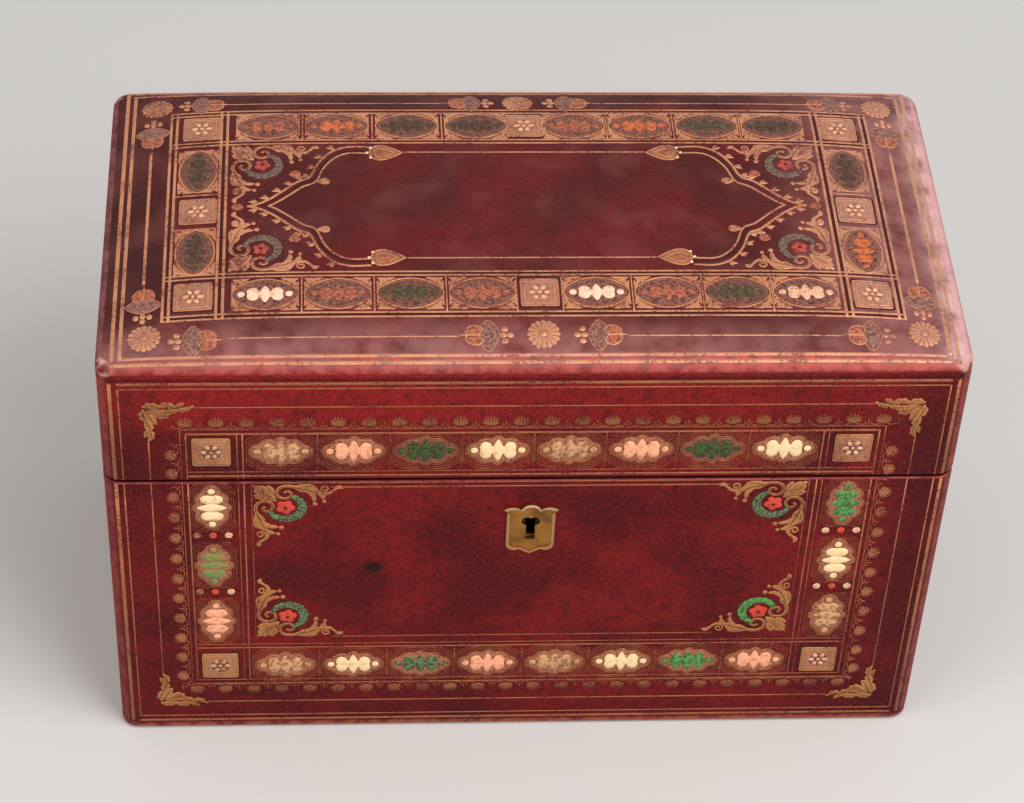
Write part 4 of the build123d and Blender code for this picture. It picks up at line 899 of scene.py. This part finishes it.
# %% The spandrel
def spandrel(green, red, gold, flower_size=2.75):
    """Corner at (0, 0), arms along both axes: half is drawn, then mirrored about the diagonal.

    The crescent is an arc of radius 4.6 about the flower, open to the corner; each volute is
    a hook round the corner side of the flower that runs out into a leafy arm.
    """
    middle = 8.6
    around = np.linspace(-1, 1, 49)
    angle = np.radians(45 + 122 * around)
    thick = 3.0 * np.clip(np.cos(np.pi / 2 * around), 0, 1) ** 0.4 + 0.1
    thick = thick + 0.3 * np.cos(np.pi * 12 * around)
    arc = middle + 4.6 * np.stack([np.cos(angle), np.sin(angle)], -1)
    hook = smooth([(8.3, 3.1), (9.3, 2.5), (10.2, 3.3), (9.9, 4.7), (8.4, 5.3), (6.9, 4.7),
                   (6.3, 3.1), (7.0, 1.3), (9.0, 0.5), (11.4, 1.0), (13.6, 2.2)], 5)
    tail = smooth([(16.6, 2.5), (18.4, 3.6), (20.4, 3.4), (21.6, 2.3), (22.4, 1.5)], 5)
    half = [ribbon(hook, np.linspace(0.85, 1.25, len(hook)), 0.17),
            leaf([(10.4, 0.7), (13.0, 1.3), (16.0, 2.3), (18.6, 3.9)], 3.9, 3),
            leaf([(12.4, 0.8), (14.4, 0.4), (16.8, 0.7)], 1.9, 1),
            leaf([(14.6, 2.6), (16.2, 4.4), (16.4, 6.6)], 2.1, 1),
            leaf([(17.2, 3.2), (18.6, 4.4), (18.9, 5.8)], 1.7),
            ribbon(tail, np.linspace(1.4, 0.9, len(tail)), 0.14),
            ribbon(scroll((19.4, 1.75), 1.45, 60, 1.3, 18), 0.6, 0.15),
            leaf([(21.9, 1.7), (23.0, 1.1), (24.2, 1.5)], 1.6),
            moved(patch(circle(0.75, 10), 0.18, 0.08, 1), (16.6, 7.4)),
            moved(patch(circle(0.6, 10), 0.18, 0.08, 1), (19.1, 6.5))]
    corner = [leaf([(6.2, 6.2), (3.4, 3.4), (0.1, 0.1)], 3.8, 1, 0.2),
              leaf([(5.7, 5.1), (3.3, 2.4), (1.8, 0.1)], 3.0, 0, 0.17),
              leaf([(5.5, 3.6), (4.6, 1.9), (4.0, 0.1)], 2.5, 0, 0.14)]
    grooves = [vein([(11.0, 0.9), (13.4, 1.5), (16.0, 2.6), (18.0, 3.7)], 0.22, 5, 0.3),
               vein([(12.8, 0.75), (14.4, 0.5), (16.2, 0.7)], 0.2),
               vein([(5.5, 4.7), (3.5, 2.6), (2.1, 0.6)], 0.22, 5, 0.3),
               vein([(5.3, 3.3), (4.6, 1.9), (4.1, 0.5)], 0.2),
               ribbon(hook[2:], 0.3, 0.21)]
    return {gold: half + [mirrored(form) for form in half]
            + corner + [mirrored(form) for form in corner[1:]],
            "burnished_leather": grooves + [mirrored(form) for form in grooves]
            + [vein([(5.8, 5.8), (3.4, 3.4), (0.6, 0.6)], 0.26, 5, 0.34),
               ribbon(arc, thick + 0.8, 0.04),
               moved(patch(circle(0.5, 10), 0.5, 0.05, 1), (middle, middle))],
            green: [ribbon(arc, thick, 0.2)],
            red: [moved(patch(flower(5, flower_size, 0.3, 8), 0.26, 0.2), (middle, middle), 81)]}


for sx in (-1, 1):
    for sy, z in ((-1, 101.2), (1, 39.9)):
        green = "onlay_green" if (sx, sy) == (1, 1) else "onlay_leaf_green"
        design = spandrel(green, "onlay_red", "gold_leaf_ochre")
        lay(front_map, design, (sx * 75.0, z), 0, (-sx, sy))
print("forms in a spandrel:", sum(len(forms) for forms in design.values()))

# %% [markdown]
# ## The lid
# The lid repeats the frame of cartouches, cramped a little, with leaves in the corners of each
# cell. Rosettes and thistles sit in its margin. The middle is a panel with an ogee outline,
# two arcs that meet in a cusp. The panel itself is plain here.

# %% Lid: fillets, rules and frames (right of centre, behind centre)
FRAME_XS = (97.9, 96.3, 83.9, 82.2)
FRAME_YS = (-42.4, -40.9, -27.2, -25.8, 27.8, 29.2, 41.8, 43.4)
ALONG, UP = 3.0, 2.0  # the steps of a line along the lid, and of one up it


def gold_line(start, end, width, step):
    """One gold fillet on the lid."""
    line(lid_map, "gold_leaf", start, end, width, step)


for y, half, width in ((-56.0, 111.2, 1.15), (-54.2, 109.2, 1.05), (55.7, 111.2, 1.0),
                       (53.9, 109.2, 0.9)):
    gold_line((-half, y), (half, y), width, ALONG)
for x, start, end, width, step in ((110.6, -56.2, 55.9, 1.3, UP), (108.5, -54.3, 54.0, 1.2, UP),
                                   (103.2, -27.8, 27.0, 1.0, 2.5)):
    for side in (-1, 1):
        gold_line((side * x, start), (side * x, end), width, step)
# Between each pair of frame lines, a strip of burnished leather that is also painted groove shade.
for low, high in zip(FRAME_YS[::2], FRAME_YS[1::2]):
    y = (low + high) / 2
    line(lid_map, "burnished_leather", (-97.9, y), (97.9, y), 1.1, ALONG, 0.03)
for y in FRAME_YS:
    gold_line((-98.2, y), (98.2, y), 0.75, ALONG)
for side in (-1, 1):
    for outside, inside in zip(FRAME_XS[::2], FRAME_XS[1::2]):
        x = side * (outside + inside) / 2
        line(lid_map, "burnished_leather", (x, -42.4), (x, 43.4), 1.2, UP, 0.03)
    for x in FRAME_XS:
        gold_line((side * x, -42.7), (side * x, 43.7), 0.95, UP)
    for y in (-7.2, 6.8):
        gold_line((side * 84.0, y), (side * 96.2, y), 0.6, UP)
for start, end, xs in ((-40.9, -27.2, (-61.5, -42.4, -23.4, -4.9, 7.2, 25.8, 44.5, 63.0)),
                       (29.2, 41.8, (-61.4, -42.0, -22.6, -5.6, 6.4, 23.7, 42.5, 61.3))):
    for x in xs:
        gold_line((x, start), (x, end), 0.5, UP)
for y, start, end in ((-48.9, -82.0, -20.5), (-48.9, 23.7, 80.4), (47.3, -82.0, -21.6),
                      (47.3, 20.4, 80.8)):
    gold_line((start, y), (end, y), 0.5, ALONG)
print("gold lines on the lid:", len(trays["lid", "gold_leaf"]))


# %% Lid: cells with leafy corners
def lid_cell(name, half_width=9.0, half_height=6.2):
    """A dark lozenge with the heart on it, a gold outline, and four gold leaves per corner."""
    ground = "halo_slate" if name in ("fern", "olive") else "halo_plum"
    lozenge = superellipse(half_width - 0.25, half_height - 0.55, 1.75, 56)
    inner = superellipse(half_width - 1.1, half_height - 1.3, 1.75, 56)
    field = superellipse(half_width - 0.1, half_height - 0.1, 20, 16)
    corner = [moved(leaf(path, wide, rise=0.12, each=4), (-half_width, -half_height))
              for path, wide in (([(0.1, 0.5), (2.2, 0.9), (4.9, 0.3)], 1.5),
                                 ([(0.5, 0.3), (1.5, 1.7), (0.9, 3.6)], 1.3),
                                 ([(0.4, 0.4), (1.9, 1.5), (3.0, 1.9)], 1.2),
                                 ([(0.2, 1.6), (0.7, 3.6), (0.3, 5.6)], 1.3))]
    return {**heart("onlay_" + name, 0.78), ground: [patch(lozenge, 0.1)],
            "gold_leaf_faint": [patch(field, 0.03), ribbon(inner, 0.3, 0.15, True)],
            "gold_leaf": [ribbon(lozenge, 0.5, 0.16, True)]
            + [moved(form, flip=flip) for flip in ((1, 1), (-1, 1), (-1, -1), (1, -1))
               for form in corner]}


LID_ROWS = (
    (-34.0, (-71.1, -52.0, -32.9, -13.9, 16.3, 35.2, 53.8, 72.1),
     "peach rose fern rose peach rose fern blush"),
    (35.6, (-71.0, -51.8, -32.3, -13.0, 14.4, 33.0, 52.0, 70.6),
     "rose orange olive olive rose orange fern olive"))
END_CELLS = ((-89.9, 16.9, "olive"), (-90.0, -16.6, "olive"), (89.6, 16.9, "olive"),
             (89.9, -16.6, "orange"))
STAMPS = ((-90.0, -34.0), (90.0, -34.0), (-89.6, 0.0), (89.8, 0.0), (-89.4, 35.5),
          (89.4, 35.5), (1.2, -34.0), (0.5, 35.6))
for y, xs, names in LID_ROWS:
    for x, name in zip(xs, names.split()):
        lay(lid_map, lid_cell(name), (x, y))
for x, y, name in END_CELLS:
    lay(lid_map, lid_cell(name, 9.2, 5.8), (x, y), 90)
stamp = square_stamp("gold_stamp_dusty", "gold_leaf", "onlay_blush", "halo_tan")
for at in STAMPS:
    lay(lid_map, stamp, at)
print("lid cells:", sum(len(xs) for _, xs, _ in LID_ROWS) + len(END_CELLS),
      "square stamps:", len(STAMPS))

# %% Lid: rosettes and thistles in the margin
# A rosette is a gold disc of sixteen touching petals, parted by thin dark lines.
spoke = ribbon(straight((1.1, 0), (4.5, 0), 1.75), 0.2, 0.3)
rosette = {"gold_leaf": [patch(flower(16, 4.6, 0.1, 4), 0.16, 0.1),
                         patch(circle(0.85, 12), 0.34, 0.1, 1)],
           "halo_plum": [moved(spoke, turn=22.5 * (k + 0.5)) for k in range(16)]
           + [ribbon(circle(1.1, 14), 0.24, 0.3, True)]}

# A thistle, along +u: gold balls, a scaled grey bulb that lies across, two rose petals in gold.
bulb, petal = superellipse(2.9, 4.7, 1.5, 28), superellipse(2.3, 1.55, 1.8, 20)
ribs = [smooth([(-2.2, 0), (u, a * sign), (v, b * sign)], 4)
        for u, a, v, b in ((-0.8, 1.5, 0.1, 3.8), (0.4, 0.7, 1.7, 1.9)) for sign in (-1, 1)]
thistle = {"onlay_grey_brown": [patch(bulb, 0.18, 0.08)],
           "gold_stamp": [ribbon(bulb, 0.26, 0.2, True)]
           + [ribbon(rib, 0.26, 0.26) for rib in ribs],
           "gold_leaf": [moved(patch(ellipse(1.0, 0.85, 10), 0.16, 0.1, 1), at)
                         for at in ((-3.9, 0), (-4.3, 1.8), (-4.3, -1.8), (-5.7, 0))]
           + [leaf([(1.6, 0), (4.4, 0), (7.7, 0)], 0.9, 0, 0.28)]
           + [moved(ribbon(petal, 0.42, 0.26, True), (3.8, 1.35 * s), -16 * s) for s in (-1, 1)],
           "onlay_rose": [moved(patch(petal, 0.2, 0.1), (3.8, 1.35 * s), -16 * s)
                          for s in (-1, 1)]}

ROSETTES = ((-102.4, -47.6), (102.4, -47.2), (1.6, -48.3), (-102.2, 47.0), (102.0, 47.0),
            (-0.7, 47.5))
THISTLES = ((-89.6, -49.3, 0), (-12.9, -48.6, 180), (16.1, -48.6, 0), (88.0, -48.6, 180),
            (-103.0, -35.9, 90), (103.0, -35.6, 90), (-103.0, 35.0, -90), (103.0, 35.0, -90),
            (-89.6, 47.4, 0), (-14.0, 47.4, 180), (12.8, 47.4, 0), (88.4, 47.4, 180))
for at in ROSETTES:
    lay(lid_map, rosette, at)
for x, y, turn in THISTLES:
    lay(lid_map, thistle, (x, y), turn)
print("rosettes:", len(ROSETTES), "thistles:", len(THISTLES))

# %% Lid: the ogee panel
PANEL_MIDDLE = 1.3
CUSP, INNER_CUSP = (59.8, 12.6), (58.5, 10.4)
OUTER = smooth([(43.0, 25.9), (49.0, 26.0), (53.6, 23.8), (56.9, 19.3), (58.7, 14.6), CUSP])
OUTER_TIP = smooth([CUSP, (62.8, 11.2), (66.2, 7.9), (70.2, 4.2), (73.8, 2.0), (76.4, 1.2)])
INNER = smooth([(43.0, 23.2), (48.8, 23.3), (52.6, 21.2), (55.6, 17.0), (57.2, 12.3),
                INNER_CUSP])
INNER_TIP = smooth([INNER_CUSP, (61.4, 9.0), (64.8, 5.8), (68.2, 2.8), (70.6, 1.2)])


def crockets(path, steps):
    """Pairs of small leaves that spring from the outside of a path, leaning forward 38 degrees."""
    ahead = np.gradient(path, axis=0)
    ahead /= np.linalg.norm(ahead, axis=1, keepdims=True)
    sprig = [patch(teardrop(2.7, 1.5, 10), 0.16, 0.05, 1),
             moved(patch(teardrop(1.7, 1.1, 8), 0.14, 0.05, 1), (0.4, 0), 45)]
    forms = []
    for (x, y), (u, v) in zip(path[steps], ahead[steps]):
        turn = math.degrees(math.atan2(v, u)) + 38
        forms += [moved(form, (x - 0.5 * v, y + 0.5 * u), turn) for form in sprig]
    return forms


quarter = {"gold_leaf": [ribbon(OUTER, 0.8, 0.14), ribbon(OUTER_TIP, 0.9, 0.14),
                         ribbon(INNER, 0.7, 0.14), ribbon(INNER_TIP, 0.75, 0.14)]
           + crockets(OUTER, [10, 15, 20, 26]) + crockets(OUTER_TIP, [3, 8, 13, 18, 23]),
           "burnished_leather": [ribbon(OUTER * 0.35 + INNER * 0.65, 0.9, 0.14)]}
for sx in (-1, 1):
    for sy in (-1, 1):
        lay(lid_map, quarter, (0, PANEL_MIDDLE * (1 - sy)), 0, (sx, sy))
for y in (23.7, -20.4):
    gold_line((-33.4, y), (33.4, y), 0.6, ALONG)
print("forms in a quarter of the panel:", len(quarter["gold_leaf"]))

# %% Lid: almonds, buds, spandrels and balls round the panel
almond = {"gold_leaf_rubbed": [patch(teardrop(9.2, 6.8, 24), 0.14, 0.06)],
          "gold_leaf": [ribbon(teardrop(9.2, 6.8, 24), 0.5, 0.24, True),
                        ribbon(teardrop(5.6, 4.0, 20) + (1.3, 0), 0.34, 0.28, True)],
          "onlay_rose": [moved(patch(teardrop(3.6, 2.2, 12), 0.3, 0.05, 1), (2.0, 0))],
          "onlay_cream": [moved(patch(circle(0.45, 8), 0.3, 0.08, 1), at)
                          for at in ((0.4, 2.1), (0.4, -2.1), (-0.6, 0))]}
bud = {"gold_leaf": [patch(teardrop(4.0, 3.1, 14), 0.2, 0.1)]}
ball = {"onlay_rose": [patch(ellipse(1.7, 1.5, 14), 0.2, 0.12)]}
small_ball = {"gold_leaf": [patch(ellipse(1.1, 1.3, 12), 0.2, 0.12)]}
lid_spandrel = spandrel("onlay_grey_green", "onlay_faded_red", "gold_leaf", 2.3)
for sx in (-1, 1):
    for y in (23.4, -20.3):
        lay(lid_map, almond, (sx * 43.0, y), 0, (-sx, 1))
    for y in (11.3, -8.7):
        lay(lid_map, bud, (sx * 53.8, y), 0, (sx, 1))
for sx in (-1, 1):
    for sy, y in ((-1, 27.0), (1, -25.0)):
        lay(lid_map, lid_spandrel, (sx * 81.0, y), 0, (-sx, sy))
        lay(lid_map, ball, (sx * 63.4, y + sy * 12.6))
        lay(lid_map, small_ball, (sx * 79.4, y + sy * 19.4))
    lay(lid_map, ball, (sx * 78.9, 1.1))
print("forms on the lid:", sum(len(forms) for (body, _), forms in trays.items() if body == "lid"))

# %% [markdown]
# ## Sides and back
# They are finished more plainly, as on most such boxes: a double fillet round each wall,
# split at the seam.

# %% Fillets on the other three walls
GAP, BEVEL_GAP = 0.5, 1.7  # the back's rims are bevelled, so its lines stop short of the seam
OFF_ROLL, OFF_FOOT = 1.7, 0.4  # what keeps the level lines clear of the roll and of the foot
for surface, half, gap in ((right_map, HALF_DEPTH, GAP), (left_map, HALF_DEPTH, GAP),
                           (back_map, HALF_WIDTH, BEVEL_GAP)):
    for inset, width in ((3.5, 1.1), (5.7, 0.45)):
        edge, low, high = half - inset, inset + OFF_FOOT, EDGE_HEIGHT - inset - OFF_ROLL
        for x in (-edge, edge):
            upright(surface, "gold_leaf_rubbed", x, low, high, width, gap)
        for z in (low, high):
            line(surface, "gold_leaf_rubbed", (-edge, z), (edge, z), width)
print("trays:", len(trays))

# %% Turn the trays into pieces
for (body, finish), forms in sorted(trays.items()):
    piece = piece_from(f"{body}_{finish}", forms, finish)
    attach(piece, body)
    print(piece.name, "faces:", len(piece.data.polygons))

# %% [markdown]
# ## The silk pad in the lid
# Wadding under silk makes a low cushion. Its top is crowned, the silk is drawn in at the edges
# between the corners, and small gathers run in from the seam.

# %% The silk pad
low, high = (np.array(corner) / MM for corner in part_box("lid_pad"))
PAD_ROWS, PAD_COLUMNS = 61, 141
BOW = 1.2  # how far the middle of each side is drawn in
EDGE, SPARE = 0.5, 1.4  # the thin edge, and that with 0.9 mm for the silk to swell into
OFF_BOARD = 0.8  # the silk stays this far below its board


def pad_point(u, v, drop):
    """Points of a pad whose sides pull in by a bow between the corners, `drop` below its board."""
    a, b = (high[:2] - low[:2]) / 2
    x, y = (high[:2] + low[:2]) / 2
    return np.stack([x + u * (a - BOW * (1 - v**2)), y + v * (b - BOW * (1 - u**2)),
                     high[2] - drop], -1).reshape(-1, 3)


v, u = np.meshgrid(np.linspace(-1, 1, PAD_ROWS), np.linspace(-1, 1, PAD_COLUMNS), indexing="ij")
swell = ((1 - np.abs(u) ** 6) * (1 - np.abs(v) ** 4)) ** 0.5
before = np.vstack([pad_point(u, v, EDGE + (high[2] - low[2] - SPARE) * swell),
                    pad_point(u, v, 0 * u)]) * MM
count = u.size
grid = np.arange(count).reshape(u.shape)
cells = np.stack([grid[:-1, :-1], grid[:-1, 1:], grid[1:, 1:], grid[1:, :-1]], -1).reshape(-1, 4)
ring = np.concatenate([grid[0], grid[1:, -1], grid[-1, -2::-1], grid[-2:0:-1, 0]])
after = np.roll(ring, -1)
rim = np.stack([ring, after, after + count, ring + count], -1)
quads = np.vstack([cells[:, ::-1], cells + count, rim])
pad = piece_from("silk_pad", [(before, quads, np.zeros((0, 3), int))], "padded_silk")
print("silk pad faces:", len(pad.data.polygons))

# %% The wadding pushes the silk out
FRAMES, FARTHEST = 20, 4.0 * MM  # how long it pushes, and how far a point may move
# The silk is cut a little too big, so it gathers at its edge. Its back and its seam are held.
held = pad.vertex_groups.new(name="held")
held.add([*range(count, 2 * count), *ring.tolist()], 1.0, "REPLACE")
cloth = pad.modifiers.new("cloth", "CLOTH")
cloth.settings.quality = 6
cloth.settings.vertex_group_mass = "held"
cloth.settings.use_pressure = True
cloth.settings.uniform_pressure_force = 4.0
cloth.settings.shrink_min = -0.035
cloth.settings.effector_weights.gravity = 0.0
cloth.collision_settings.use_collision = False
for step in range(1, FRAMES + 1):
    bpy.context.scene.frame_set(step)
posed = pad.evaluated_get(bpy.context.evaluated_depsgraph_get()).data
settled = np.zeros((len(posed.vertices), 3))
posed.vertices.foreach_get("co", settled.ravel())
pad.modifiers.clear()
pad.vertex_groups.clear()
bpy.context.scene.frame_set(1)
moves = np.clip(settled - before, -FARTHEST, FARTHEST)
settled = before + moves
face = np.setdiff1d(np.arange(count), ring)
settled[face, 2] = np.minimum(settled[face, 2], (high[2] - OFF_BOARD) * MM)
pad.data.vertices.foreach_set("co", settled.ravel())
pad.data.update()
print("the silk moved by at most", round(float(np.abs(moves).max() / MM), 2), "mm")
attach(pad, "lid")
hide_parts("lid_pad")

# %% [markdown]
# ## Studio
# A pale floor, a large soft lamp over the right shoulder and a weaker one from the left. The
# world gives an even fill. The floor keeps the box's shadow. The camera uses a long lens a
# little way off, looking down on the box.

# %% Floor
REACH = 6.0  # metres
floor_mesh = bpy.data.meshes.new("floor")
floor_mesh.from_pydata([(-REACH, -REACH, 0), (REACH, -REACH, 0), (REACH, REACH, 0),
                        (-REACH, REACH, 0)], [], [(0, 1, 2, 3)])
floor = bpy.data.objects.new("floor", floor_mesh)
bpy.context.scene.collection.objects.link(floor)
new_finish("studio_paper", Roughness=0.9, Specular_IOR_Level=0.1, Base_Color="#d9d6d3")
floor_mesh.materials.append(finishes["studio_paper"])
print("floor:", 2 * REACH, "m square")

# %% World and lamps
FILL = 0.45  # the world's light on the box; what the camera and reflections see of it is 1
world = bpy.context.scene.world = bpy.data.worlds.new("studio")
world.use_nodes = True
ray = world.node_tree.nodes.new("ShaderNodeLightPath").outputs
seen = add("MAXIMUM", ray["Is Camera Ray"],
           add("MAXIMUM", ray["Is Glossy Ray"], ray["Is Transmission Ray"]))
feed(world.node_tree.nodes["Background"],
     {"Color": "#ffffff", "Strength": add("ADD", FILL, add("MULTIPLY", seen, 1 - FILL))})

for name, at, power in (("key_lamp", (0.55, -0.55, 1.0), 11.0),
                        ("side_lamp", (-0.8, -0.5, 0.7), 4.0)):
    lamp = bpy.data.lights.new(name, "AREA")
    lamp.size, lamp.energy = 0.8, power
    made = bpy.data.objects.new(name, lamp)
    bpy.context.scene.collection.objects.link(made)
    made.location = at
    aim = np.array([0, 0, 0.08]) - at
    made.rotation_euler = (math.acos(-aim[2] / np.linalg.norm(aim)), 0,
                           math.atan2(aim[1], aim[0]) - math.pi / 2)
    print(name, power, "W")

# %% Camera
PITCH, YAW, TILT = 44.174, -4.890, 3.076  # degrees: down, round and over
camera = bpy.data.objects.new("camera", bpy.data.cameras.new("camera"))
bpy.context.scene.collection.objects.link(camera)
camera.matrix_world = (
    Matrix.Translation((-0.054961, -0.622987, 0.683349))
    @ Matrix.Rotation(math.radians(YAW), 4, "Z")
    @ Matrix.Rotation(math.radians(90 - PITCH), 4, "X")
    @ Matrix.Rotation(math.radians(TILT), 4, "Z")
)
camera.data.lens, camera.data.sensor_width = 106.06, 36.0
camera.data.sensor_fit = "HORIZONTAL"
camera.data.clip_start, camera.data.clip_end = 0.05, 20.0
bpy.context.scene.camera = camera
bpy.context.scene.view_settings.view_transform = "Standard"
print("camera:", camera.data.lens, "mm")

# %% Update the view layer
bpy.context.view_layer.update()
